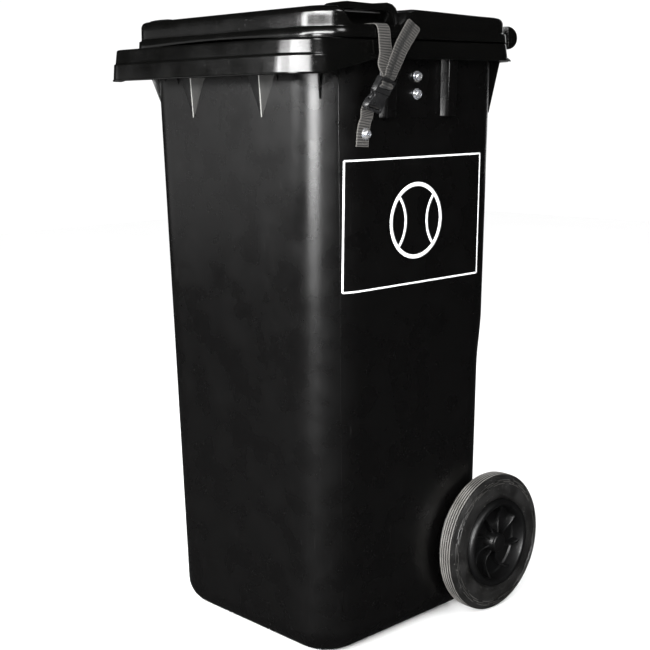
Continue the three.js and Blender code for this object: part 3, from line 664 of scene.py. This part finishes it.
def paint_fin_light(centre, normal):
    """Painted highlight on the fins' ridges and painted light on their faces towards the strap side, as lighter
    greys; the other front faces take the rougher hub plastic.
    """
    wall = -body_plan(centre.z)["front"]
    off_middle = abs(centre.x) - FIN_X
    if normal.y < -0.5 and abs(off_middle) < 1.6 and centre.y < wall - 0.9:
        return FIN_PAINTED_HIGHLIGHT
    if normal.y < -0.2:
        return FIN_PAINTED_LIGHT if copysign(1, centre.x) * off_middle > 1.6 else BLACK_HUB
    return None


def front_rib(x, bottom):
    wall = -body_plan(bottom)["front"] + 2
    front, top = wall - 8, LIP_TOP - 5
    outline = [(wall, bottom), (wall, top), (front, top), (front, LIP_BOTTOM + 8)]
    return prism(outline, 0, x - 1.0, x + 1.0)


def corner_rib():
    """The thin rib on the rounded front corner."""
    plan = body_plan(830)
    inner, outer = plan["corner"] - 3, plan["corner"] + 14
    outline = [(inner, 822), (outer, LIP_BOTTOM + 6), (outer, LIP_TOP - 6), (inner, LIP_TOP - 6)]
    at = (plan["width"] - plan["corner"], plan["corner"] - plan["front"], 0)
    turn = Matrix.Translation(at) @ Matrix.Rotation(radians(-52), 4, "Z")
    return moved(prism(outline, 1, -1.6, 1.6), turn)


def side_rib(y):
    """A box rib on the side wall whose front and back faces are slightly hollow."""
    half, bottom, bend = 9.5, 802, LIP_STEP - 8
    rings = []
    for z in (bottom, bottom + 1.5, bend, LIP_TOP - 6):
        wall = body_plan(z)["width"] - 2
        t = clamp((z - bottom) / (bend - bottom))
        outer = lerp(body_plan(bottom)["width"] + 13, LIP["width"] - 9, t)
        hollow = [(lerp(wall, outer, k / 6), 1.2 * sin(k / 6 * pi)) for k in range(7)]
        loop = [(x, y - half - 0.22 * (outer - x) + dip, z) for x, dip in hollow]
        loop += [(x, y + half + 0.15 * (outer - x) - dip, z) for x, dip in reversed(hollow)]
        rings.append(loop)
    return skin(rings)


def back_wing():
    back, top = LIP["back"] - 4, LIP_TOP - 6
    outline = [(172, 806), (180, 806), (back, SIDE_BOTTOM + 2), (back, top), (172, top)]
    return prism(outline, 0, 187.5, 190.5)


def add_ribs():
    fins = joined(front_fin(FIN_X), front_fin(-FIN_X))
    repaint(bin_piece("front_fins", fins, bevel=0.3, segments=2, smooth=50.0), paint_fin_light)
    ribs = joined(front_rib(116, 852), front_rib(150, 860), corner_rib())
    bin_piece("front_ribs", both_sides(ribs), bevel=0.5, segments=2)
    boxes = joined(side_rib(-81.5), side_rib(49))
    bin_piece("side_ribs", both_sides(boxes), bevel=1.6, smooth=50.0)
    bin_piece("back_wings", both_sides(back_wing()), bevel=0.6, segments=2)


def wall_point(y, z, proud):
    """The point of the +X wall at (y, z), a little proud of it, round the corners too."""
    plan = grown(body_plan(z), proud)
    x, corner = plan["width"], plan["corner"]
    for reach in (y - (plan["back"] - corner), -y - (plan["front"] - corner)):
        if reach > 0:
            x = plan["width"] - corner + sqrt(max(0.0, corner**2 - reach**2))
    return x, y, z


def stroke(points, width, proud=0.12, closed=False):
    """A line of even width drawn on the +X wall, through (y, z) points."""
    count = len(points)
    verts, faces = [], []
    for i, (y, z) in enumerate(points):
        before = points[(i - 1) % count] if closed or i else points[0]
        after = points[(i + 1) % count] if closed or i < count - 1 else points[-1]
        dy, dz = after[0] - before[0], after[1] - before[1]
        size = hypot(dy, dz)
        ny, nz = -dz / size * width / 2, dy / size * width / 2
        verts += [wall_point(y + ny, z + nz, proud), wall_point(y - ny, z - nz, proud)]
    for i in range(count if closed else count - 1):
        n = (i + 1) % count
        faces.append((2 * i, 2 * i + 1, 2 * n + 1, 2 * n))
    return verts, faces


def split_line(start, end):
    return [lerp_pair(start, end, k / 90) for k in range(91)]


def arc(centre, radius, start, end, steps):
    """Points on a circle in (y, z), from one angle to another in degrees."""
    angles = [radians(lerp(start, end, k / steps)) for k in range(steps + 1)]
    return [(centre[0] + radius * cos(a), centre[1] + radius * sin(a)) for a in angles]


def add_print():
    """A plain outlined panel with a ball, printed on the right wall."""
    low, high = (-155.0, 557.0), (134.0, 744.0)
    corners = rectangle(low, high)
    lines = [stroke(split_line(corners[i], corners[(i + 1) % 4]), 2.6) for i in range(4)]
    middle, radius = lerp_pair(low, high, 0.5), 54.0
    lines.append(stroke(arc(middle, radius, 0, 360, 72)[:-1], 6.0, closed=True))
    for turn, offset in ((180, 77), (0, -77)):
        centre = (middle[0] + offset, middle[1])
        lines.append(stroke(arc(centre, radius, turn - 42, turn + 42, 40), 4.5))
    obj = piece("side_print", joined(*lines), "bin", None, PRINT)
    reshape(obj, "SOLIDIFY", thickness=0.0002)


def add_seam_lines():
    points = [(-149.0 - 14.7 * k / 30, lerp(70, 868, k / 30)) for k in range(31)]
    obj = bin_piece("mould_lines", both_sides(stroke(points, 0.9, proud=0.28)))
    reshape(obj, "SOLIDIFY", thickness=0.0005)


def handle_outline(scale):
    """A D with its flat side towards the bin, from one cubic curve."""
    half = HANDLE["tall"] / 2 * scale
    flat, bulge = -HANDLE["deep"] / 2 * scale, HANDLE["deep"] * 0.65 * scale
    points = []
    for step in range(17):
        t = step / 16
        near, far = 3 * (1 - t) ** 2 * t, 3 * (1 - t) * t**2
        fall = (1 - t) ** 3 + near - far - t**3
        points.append((HINGE.y + lerp(flat, bulge, near + far), HINGE.z - half * fall))
    return points


def add_rear_grips():
    inner, outer = HANDLE["inner"], HANDLE["outer"]
    ends = [(inner, 0.93), (inner + 0.6, 0.97), (inner + 1.8, 1.0)]
    ends += [(outer - 1.8, 1.0), (outer - 0.6, 0.97), (outer, 0.93)]
    grip = skin([placed(handle_outline(scale), 0, x) for x, scale in ends])
    bin_piece("rear_grips", both_sides(grip), BLACK_LID, smooth=45.0)

    y, z = HINGE.y, HINGE.z
    web = [(190, 842), (203, 846), (y - 2, z - HANDLE["tall"] / 2 + 4), (y - 12, z), (190, 900)]
    lug = [(190, 846), (205, 850), (y + 6, z - 12), (y + 6, z), (y - 14, z), (190, 900)]
    wide = BARREL["lug"]
    eye = [(0, 6.4), (0, 13.4), (0.6, 14), (wide - 0.6, 14), (wide, 13.4), (wide, 6.4)]
    parts = [prism(web, 0, outer - 16, outer - 10), prism(web, 0, 96, 102)]
    for start in (BARREL["inner"] - 0.35 - wide, BARREL["outer"] + 0.35):
        parts += [turned(eye, 40, (start, y, z)), prism(lug, 0, start, start + wide)]
    bin_piece("hinge_lugs", both_sides(joined(*parts)), bevel=0.7, segments=2)

    near_wheel = WHEEL_CENTRE.y + 18
    cheek = [(118, 110), (134, 84), (near_wheel, 84), (near_wheel, 154), (132, 154)]
    bin_piece("axle_cheeks", both_sides(prism(cheek, 0, 156, 176)), bevel=1.2)


# ---- lid
def recess_height(x, y):
    """Height limit that forms the hand recess at each side of the lid."""
    inward = (RECESS["inner"] + 7 - abs(x)) / 12
    forward = (RECESS["front"] + 12 - y) / 24
    backward = (y - RECESS["back"] + 7) / 12
    away = max(inward, forward, backward)
    return RECESS["floor"] + 30 * smoothstep(away)


def grip_dip(x, y):
    """Height limit that lets light through between each grip and the dome behind it."""
    inward = (174 - abs(x)) / 56
    forward = (RECESS["front"] + 38 - y) / 30
    backward = (y - RECESS["back"] - 10) / 30
    return GRIP_DIP + 9 * smoothstep(max(inward, forward, backward))


def ledge_height(y):
    return LID_LEDGE + 22 * smoothstep((DOME_BACK + 8 - y) / 24)


def lid_height(x, y, nominal):
    if nominal <= LID_STEP + 1.5:
        return nominal
    share = clamp((nominal - LID_STEP) / 20)
    height = nominal - LID_SINK * smoothstep((y + 60) / 240) * share
    for limit in (ledge_height(y), grip_dip(x, y), recess_height(x, y)):
        height = soft_min(height, limit)
    return height


def lid_rings():
    """The outer face of the lid. A level is how far it is offset from the rim, and its height."""
    detail = {"arc": 16, "across": 24, "along": 70}
    levels = [
        (-0.9, LID_STEP - 0.6), (-1.5, LID_STEP + 0.2), (-3.4, LID_STEP + 0.7),
        (-4.2, LID_STEP + 1.4), (-4.55, 927.4), (-4.6, 928.2), (-4.65, 932.0), (-4.78, 940.0),
        (-4.88, 946.2), (-5.0, 947.2), (-5.8, 949.9), (-7.6, 952.6), (-10.4, 954.2),
        (-14.0, 955.0), (-19.0, 955.7), (-25.0, 956.2),
    ]
    for offset in (*range(29, 60, 2), *range(64, 200, 9)):
        levels.append((-offset, lerp(956.2, 959.5, smoothstep((offset - 25) / 130))))

    def bottom(x, y, lift):
        arch = LID_ARCH * max(0.0, 1 - (x / 175) ** 2) if y < -LID["front"] + 30 else 0.0
        return (x, y, LID_BOTTOM + lift + arch)

    rings = [[bottom(x, y, 0.0) for x, y in rounded(**grown(LID, -0.25), **detail)]]
    rings.append([bottom(x, y, 0.6) for x, y in rounded(**LID, **detail)])
    for offset, nominal in levels:
        plan = rounded(**grown(LID, offset), **detail)
        rings.append([(x, y, lid_height(x, y, nominal)) for x, y in plan])
    return rings


def dusty_top(centre, normal):
    """The flat top of the lid is duller than its sides."""
    return LID_TOP_FACE if normal.z > 0.90 and centre.z > LID_LEDGE else None


def add_lid_shell():
    shell = mesh_object("lid_shell", skin(lid_rings(), caps=(False, True)))
    reshape(shell, "SOLIDIFY", thickness=LID_THICK / METRE, offset=-1.0)
    finished(shell, "lid", "black_plastic", BLACK_LID, "lid", smooth=34.0)
    repaint(shell, dusty_top)


def add_lid_grips():
    bottom, top, front, back = (GRIP[key] for key in ("bottom", "top", "front", "back"))
    over = [
        (front, 950.5), (front + 10, top - 7.5), (front + 19, top - 3.0), (front + 31, top - 0.8),
        (front + 42, top + 0.2), (lerp(front, back, 0.62), top - 1.0),
        (back - 26, top + 1.4), (back - 16, top - 0.4), (back - 9, top - 5),
    ]
    under = [
        (back, 941.5),
        (RECESS["back"] - 9, RECESS["floor"] - 2),
        (RECESS["back"] - 14, bottom - 6),
        (RECESS["back"] - 20, bottom),
        (RECESS["front"] + 12, bottom),
        (RECESS["front"] - 4, bottom - 4),
    ]
    rings = []
    for reach, setback in ((-1.0, 0.0), (-0.5, 0.0), (0.0, 0.0), (0.5, 3.0), (1.0, 9.0)):
        x = GRIP["middle"] + reach * GRIP["half"]
        shares = [clamp((RECESS["front"] - y) / 25) for y, _ in over + under]
        rings.append([(x, y + setback * share, z) for (y, z), share in zip(over + under, shares)])
    lid_piece("lid_grips", both_sides(skin(rings)), bevel=3.2, segments=4, smooth=28.0)


def add_lid_arms():
    arm = [
        (LID["back"] - 20, LID_LEDGE - 14),
        (LID["back"] - 20, LID_LEDGE - 1),
        (LID["back"] + 14, LID_LEDGE - 1),
        (HINGE.y, HINGE.z + BARREL["radius"]),
        (HINGE.y + 2, HINGE.z - 4),
        (HINGE.y - 14, HINGE.z + 1),
        (LID["back"], LID_BOTTOM + 5),
    ]
    long = BARREL["outer"] - BARREL["inner"]
    knuckle = [(0, 6.4), (0, 12.4), (0.6, 13), (long - 0.6, 13), (long, 12.4), (long, 6.4)]
    bar = prism(arm, 0, BARREL["inner"], BARREL["outer"])
    arms = joined(bar, turned(knuckle, 40, (BARREL["inner"], HINGE.y, HINGE.z)))
    lid_piece("lid_arms", both_sides(arms), bevel=0.8, segments=2)


# ---- wheels
def on_dash_band(radius):
    return DASH_RINGS[-1] - 1.2 < radius < DASH_RINGS[0] + 1.3


def tyre_part():
    """A ribbed tread and smooth sidewalls, the outer one with rings of raised dashes."""
    crown_radius, shoulder, groove, ribs = WHEEL["radius"] - 0.1, 6.0, 1.7, 5
    pitch = (TYRE_WIDTH - 2 * shoulder) / ribs
    profile = [(0.4, 80), (0.0, 82), (0.0, 95), (0.5, 101), (1.8, 105), (3.4, 108.4), (5.2, 110.4)]
    for rib in range(ribs):
        start = shoulder + rib * pitch
        crown = crown_radius - 0.5 * ((rib - 2.0) / 2.0) ** 2
        for across, down in (
            (0, groove), (0.7, groove), (1.2, 0.3), (1.7, 0), (pitch - 1.0, 0), (pitch - 0.5, 0.3),
        ):
            profile.append((start + across, crown - down))
    far = [(6.0, crown - groove), (4.6, 109.8), (3.0, 107.6), (1.9, 104.8)]
    for ring in DASH_RINGS:
        base = lerp(1.6, 0.9, (DASH_RINGS[0] - ring) / 6)
        far += [(base, ring + 0.9), (0.3, ring + 0.5), (0.3, ring - 0.5), (base, ring - 0.9)]
    far += [(0.6, 93), (0.4, 88), (0.5, 82), (0.9, 77.5), (1.5, 74.2), (2.4, 72.6), (8.6, 72.6)]
    profile += [(TYRE_WIDTH - across, high) for across, high in (*far, (9.4, 77))]
    profile.append((3.0, 77))

    def dashes(along, radius, angle):
        """Lowers the raised rings for a fifth of each of 15 lengths, in a different place on each."""
        turn = angle / (2 * pi) * 15
        row = round((DASH_RINGS[0] - radius) / 3.0)
        raised = along > TYRE_WIDTH - 0.5 and on_dash_band(radius)
        return (TYRE_WIDTH - 1.4 if raised and (turn + row * 0.37) % 1.0 > 0.80 else along), radius

    return turned(profile, 240, shape=dashes)


def tyre_dust_and_highlights(centre, normal):
    """The tread's ridges are lighter, partly dust and partly a painted sheen; the raised dashes get a painted
    highlight.
    """
    radius = hypot(centre.y - WHEEL_CENTRE.y, centre.z - WHEEL_CENTRE.z)
    if radius > WHEEL["radius"] - 1.1:
        return TREAD_DUST_AND_SHEEN
    if WHEEL["outer"] - abs(centre.x) < 0.45 and on_dash_band(radius):
        return DASH_PAINTED_HIGHLIGHT
    return None


def hub_part():
    width = TYRE_WIDTH
    return turned([
        (1, AXLE_BORE), (1, 24), (12, 24.5), (12, RIM - 8), (2, RIM - 6), (2, RIM),
        (width - 9.8, RIM), (width - 9.0, 72.2), (width + 1.0, 72.2), (width + 2.6, 71.6),
        (width + 4.8, 70.2), (width + 6.2, 68.2), (width + 6.7, 66.2), (width + 6.4, 64.2), (width + 5.0, 62.2),
        (width + 2.0, 61.0), (20, 59), (17.4, 57), (16.4, 54), (16, 30), (17, 22), (19, 17.6),
        (width + 0.2, 15.2), (width + 1, 14.6), (width + 1, AXLE_BORE),
    ], 96)


def spoke_part():
    """One of eight blades that sweep from the boss to the rim."""
    rings = []
    for step in range(13):
        t = step / 12
        radius = lerp(14.5, 60.0, t)
        angle = -radians(20) * t**1.6
        direction = angle - radians(15) * t
        half = lerp(1.5, 1.2, t) + 1.6 * max(0.0, t - 0.82) / 0.18
        top = TYRE_WIDTH - 3.5 - 7.0 * sin(pi * min(1.0, t * 1.05)) + 1.5 * t
        cy, cz = radius * sin(angle), radius * cos(angle)
        ny, nz = cos(direction) * half, -sin(direction) * half
        loop = [(15.5, -1), (top - 0.7, -1), (top, -0.6), (top, 0.6), (top - 0.7, 1), (15.5, 1)]
        rings.append([(x, cy + s * ny, cz + s * nz) for x, s in loop])
    return skin(rings)


def add_wheels():
    turns = [Matrix.Rotation(k * pi / 4 + 0.22, 4, "X") for k in range(8)]
    spokes = joined(*(moved(spoke_part(), turn) for turn in turns))
    x = TYRE_WIDTH + 1.35
    cap = [(x, 0.01), (x, 14.8), (x + 2.2, 14.8), (x + 3.6, 13.6), (x + 4.6, 10.0), (x + 5, 0.01)]
    parts = (
        ("tyre", tyre_part(), "tyre_rubber", TYRE, "tyre", 30.0),
        ("hub", hub_part(), "hub_plastic", BLACK_HUB, "wheel_hub", 30.0),
        ("spokes", spokes, "hub_plastic", BLACK_HUB, "wheel_hub", 40.0),
        ("cap", turned(cap, 48), "hub_plastic", BLACK_HUB, "hub_cap", 30.0),
    )
    at = Matrix.Translation((WHEEL["inner"], WHEEL_CENTRE.y, WHEEL_CENTRE.z))
    for name, side in SIDES:
        for kind, part, slot, material, node, smooth in parts:
            part = mirrored(moved(part, at), side)
            rest = (f"wheel_{name}", slot, material, f"{node}_{name}")
            obj = piece(f"wheel_{kind}_{name}", part, *rest, smooth=smooth)
            if kind == "tyre":
                repaint(obj, tyre_dust_and_highlights)


# ---- bolts
def bolt_head(start, seat, end):
    """A button head with a hexagon socket. It stands on its washer at seat."""
    quarter = [k / 7 * pi / 2 for k in range(8)]
    dome = [(seat + 0.1 + (end - seat) * sin(a), 3.4 + 3.5 * cos(a)) for a in quarter]
    profile = [(start, 0.01), (start, 3.6), (start + 0.5, 4.0), (seat - 0.4, 4.0), *dome]
    profile += [(end - 0.1, 3.1), (end - 3.0, 3.0), (end - 3.4, 0.01)]
    inside, outside = circle(2.35, 6), circle(3.1 * 1.02, 6)
    walls = ((end - 3.2, inside), (end, inside), (end, outside), (end - 3.2, outside))
    socket = skin([placed(ring, 0, x) for x, ring in walls], closed=True)
    return joined(turned(profile, 48), socket)


def add_bolts():
    names = [f"side_{side}_{level}" for side, _ in SIDES for level in ("upper", "lower")] + ["strap"]
    for name in names:
        low, high = cad_box(f"bolt_{name}")
        start, end = sorted((abs(low.x), abs(high.x)))
        near, seat = sorted(abs(corner.x) for corner in cad_box(f"washer_{name}"))
        ring = [(near, 4.3), (near, 8.0), (near + 0.25, 8.25)]
        ring += [(seat - 0.25, 8.25), (seat, 8.0), (seat, 4.3)]
        centre = (low + high) / 2
        at = Matrix.Translation((0, centre.y, centre.z))
        for node, kind, part in (
            (f"bolt_{name}", "head", bolt_head(start, seat, end)),
            (f"washer_{name}", "ring", turned(ring, 48)),
        ):
            part = mirrored(moved(part, at), 1 if low.x > 0 else -1)
            piece(f"{node}.{kind}", part, "bin", "zinc", ZINC, node, smooth=35.0)


# ---- webbing
def smooth_path(keys, steps):
    """Catmull-Rom through tuples of numbers."""

    def cubic(a, b, c, d, t):
        square = (2 * a - 5 * b + 4 * c - d) * t * t
        return 0.5 * (2 * b + (c - a) * t + square + (3 * b - a - 3 * c + d) * t**3)

    out = []
    last = len(keys) - 1
    for i in range(last):
        near = (keys[max(i - 1, 0)], keys[i], keys[i + 1], keys[min(i + 2, last)])
        for step in range(steps):
            out.append(tuple(cubic(*values, step / steps) for values in zip(*near)))
    out.append(keys[-1])
    return out


def ribbon(name, keys, crease=0.0, round_end=False):
    """Webbing with raised cross ribs and thick edges, through keys of (point, direction across)."""
    steps_per_key = 60
    flat = smooth_path([(*point, *across) for point, across in keys], steps_per_key)
    centres = [Vector(p[:3]) for p in flat]
    lengths = [0.0]
    for a, b in zip(centres, centres[1:]):
        lengths.append(lengths[-1] + (b - a).length)
    total = lengths[-1]
    count = int(total / (WEBBING["rib"] / 6))
    rings, uvs = [], []
    place = 0
    half, thick = WEBBING["width"] / 2, WEBBING["thick"] / 2
    one_side = [0.06, 0.25, 0.5, 0.7, 0.86, 0.93, 1.0]
    columns = [-u for u in reversed(one_side)] + [0.0] + one_side
    for step in range(count + 1):
        s = total * step / count
        while place < len(lengths) - 2 and lengths[place + 1] < s:
            place += 1
        t = (s - lengths[place]) / max(1e-9, lengths[place + 1] - lengths[place])
        centre = centres[place].lerp(centres[place + 1], t)
        along = (centres[min(place + 2, len(centres) - 1)] - centres[max(place - 1, 0)]).normalized()
        across = Vector(flat[place][3:]).lerp(Vector(flat[place + 1][3:]), t)
        across = (across - along * across.dot(along)).normalized()
        out = across.cross(along)
        narrowing = 1.0
        if round_end:
            left = (total - s) / 5.0
            narrowing = 1.0 if left > 1 else 0.72 + 0.28 * sqrt(max(0.0, 1 - (1 - left) ** 2))
        rib = cos(2 * pi * s / WEBBING["rib"])

        def height(u):
            edge = max(0.0, (abs(u) - 0.8) / 0.2)
            body = 0.45 + 0.55 * (0.5 + 0.5 * rib) * (1 - edge)
            return thick * (body + 0.25 * edge * (1 - edge) * 4) * (1.0 if abs(u) < 0.97 else 0.45)

        def fold(u):
            return -crease * (1 - min(1.0, abs(u) / 0.12))

        ring = []
        for face, places in ((1, columns), (-1, reversed(columns))):
            for u in places:
                sideways = across * (u * half * narrowing)
                ring.append(tuple(centre + sideways + out * (face * height(u) + fold(u))))
        rings.append(ring)
        uvs.append(s / METRE)
    return mesh_object(name, skin(rings)), rings, columns, uvs


def web_uv(obj, rings, columns, uvs):
    """Writes each corner's place across and along the webbing, found from its nearest ring point."""
    per_ring = columns + list(reversed(columns))
    tree = KDTree(len(rings) * len(per_ring))
    facts = []
    for ring, v in zip(rings, uvs):
        for point, u in zip(ring, per_ring):
            tree.insert(Vector(point) / METRE, len(facts))
            facts.append(((u + 1) / 2, v))
    tree.balance()
    layer = obj.data.uv_layers.new(name="weave")
    for loop in obj.data.loops:
        _, index, _ = tree.find(obj.data.vertices[loop.vertex_index].co)
        layer.data[loop.index].uv = facts[index]


def add_webbing(name, keys, node, body, material=WEB, **shape):
    obj, rings, columns, uvs = ribbon(name, keys, **shape)
    web_uv(obj, rings, columns, uvs)
    return finished(obj, body, "webbing", material, node, smooth=60.0)


BUCKLE_MIDDLE = Vector((240.0, -121.0, 835.0))
BUCKLE_ALONG = Vector((0.41, 0.26, 0.873)).normalized()
BUCKLE_OUT = Vector((-0.11, 0.965, -0.24)).cross(BUCKLE_ALONG).normalized()
BUCKLE_ACROSS = BUCKLE_ALONG.cross(BUCKLE_OUT)
BUCKLE_TURN = Matrix((BUCKLE_OUT, BUCKLE_ACROSS, BUCKLE_ALONG)).transposed().to_4x4()
BUCKLE_FRAME = Matrix.Translation(BUCKLE_MIDDLE) @ BUCKLE_TURN


def by_buckle(*places):
    """Keys of the webbing's path that are fixed to the buckle, each (out, across, along)."""
    return [(tuple(BUCKLE_FRAME @ Vector(place)), tuple(BUCKLE_ACROSS)) for place in places]


def level(*points):
    return [(point, Y_ACROSS) for point in points]


def add_straps():
    floor = RECESS["floor"] + 1.3
    upper = level(
        (186, -105.5, floor), (205, -105.5, floor), (222, -105.5, floor),
        (230.5, -105.5, floor - 1.0), (235.2, -105.5, floor - 8), (238, -106, 905),
    )
    blend_end = (244.2, -112, 874)
    upper += [((241.5, -107.5, 888), (0.1, 0.99, 0)), (blend_end, (0.2, 0.98, 0))]
    upper += by_buckle((-2.6, 0.5, 28), (-2.4, 0, 22), (-5.6, 0, 17.5), (-5.8, 0, 12.0))
    obj = add_webbing("strap_upper.web", upper, "strap_upper", "lid")
    obj.parent = None
    blend_end = tuple(c / METRE for c in blend_end)
    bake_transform(obj)

    tail = by_buckle(
        (-3.6, 0, 12.6), (0.0, 0, 12.0), (4.6, 0, 12.8), (6.0, 0, 15.6),
        (4.6, 0, 18.6), (0.6, 0, 20.6), (0.2, 0, 24.0), (2.4, 0.8, 28.5),
    )
    tail += [
        ((257.5, -111, 870), (0.0, 0.97, -0.2)),
        ((260, -105.1, 884), (0.05, 0.95, -0.26)),
        ((262.5, -98.7, 899), (0.12, 0.94, -0.31)),
        ((265, -88.4, 915), (0.18, 0.92, -0.33)),
        ((266.5, -76.5, 931), (0.22, 0.9, -0.33)),
    ]
    shape = {"crease": 0.6, "round_end": True}
    add_webbing("strap_tail.web", tail, "strap_tail", "strap_clip", TAIL_WEB, **shape)

    wall = body_plan(770)["width"]
    lower = level(
        (wall + 1.4, -128.5, 763), (wall + 2.2, -127.5, 780),
        (wall + 3.6, -125.5, 795), (wall + 7.0, -124.5, 804),
    )
    lower += by_buckle((-6.4, 0, -25), (-5.4, 0, -20.5), (-2.0, 0, -18.6), (1.5, 0, -18.6))
    add_webbing("strap_lower.web", lower, "strap_lower", "bin")


def buckle_piece(obj, body, node, bevel):
    """Moves a mesh made about the origin to the buckle's place, and finishes it."""
    obj.data.transform(Matrix.Translation(BUCKLE_MIDDLE / METRE) @ BUCKLE_TURN)
    finished(obj, body, "buckle_plastic", BUCKLE_BLACK, node, bevel=bevel, segments=2)


def tool(low, high):
    return mesh_object("tool", block(low, high))


def add_buckle():
    shell = [
        (-14.5, -24.5), (14.5, -24.5), (16.3, -22), (16.3, -12), (12.6, -5), (12.6, -1), (16.5, 2.6),
        (-16.5, 2.6), (-12.6, -1), (-12.6, -5), (-16.3, -12), (-16.3, -22),
    ]
    female = mesh_object("buckle_female.shell", prism(shell, 0, -5, 5))
    cavity = tool((-3, -13, -13), (3, 13, 5))
    windows = [tool((-3, s * 14.5 - 4, -11), (3, s * 14.5 + 4, -1.5)) for s in (-1, 1)]
    cut(female, cavity, *windows, tool((-10, -13.3, -20.5), (10, 13.3, -16.5)))
    buckle_piece(female, "bin", "buckle_female", 0.8)

    outline = [(-16.4, 3.4), (16.4, 3.4), (16.4, 23), (14.5, 24.5), (-14.5, 24.5), (-16.4, 23)]
    head = mesh_object("buckle_male.head", prism(outline, 0, -4.4, 4.4))
    slots = [tool((-10, -13.3, z), (10, 13.3, z + 4.2)) for z in (9.8, 17.2)]
    cut(head, *slots, tool((-10, -13.3, 17), (1.6, 13.3, 30)))
    buckle_piece(head, "strap_clip", "buckle_male", 0.7)

    arm = [
        (7.2, 4), (11.6, 4), (12.4, -1), (15.4, -3.5), (15.8, -8),
        (13.6, -11), (10.5, -12), (8.8, -11.4), (10.8, -7), (10.2, -2),
    ]
    far_arm = [(-y, z) for y, z in reversed(arm)]
    guide = prism([(-2.2, 4), (2.2, 4), (1.6, -11), (-1.6, -11)], 0, -2.2, 2.2)
    prongs = joined(prism(arm, 0, -2.4, 2.4), prism(far_arm, 0, -2.4, 2.4), guide)
    buckle_piece(mesh_object("buckle_male.prongs", prongs), "strap_clip", "buckle_male", 0.5)


# ---- what stays as CAD
def dress_cad_nodes():
    slots = {row["node"]: row["material_slot"] for row in frame["record"]["subparts"]}
    for name, obj in frame["nodes"].items():
        if obj.hide_render:
            continue
        obj.data.materials.clear()
        obj.data.materials.append(CAD_FINISHES[slots[name]])
        modify(obj, "WELD", merge_threshold=1e-5)
        modify(obj, "BEVEL", **bevel_settings(0.6, 2, 40))


# ---- assembly
add_camera()
add_studio()
add_bin_shell()
add_lip()
add_ribs()
add_rear_grips()
add_seam_lines()
add_print()
add_lid_shell()
add_lid_grips()
add_lid_arms()
add_wheels()
add_bolts()
add_straps()
add_buckle()
dress_cad_nodes()
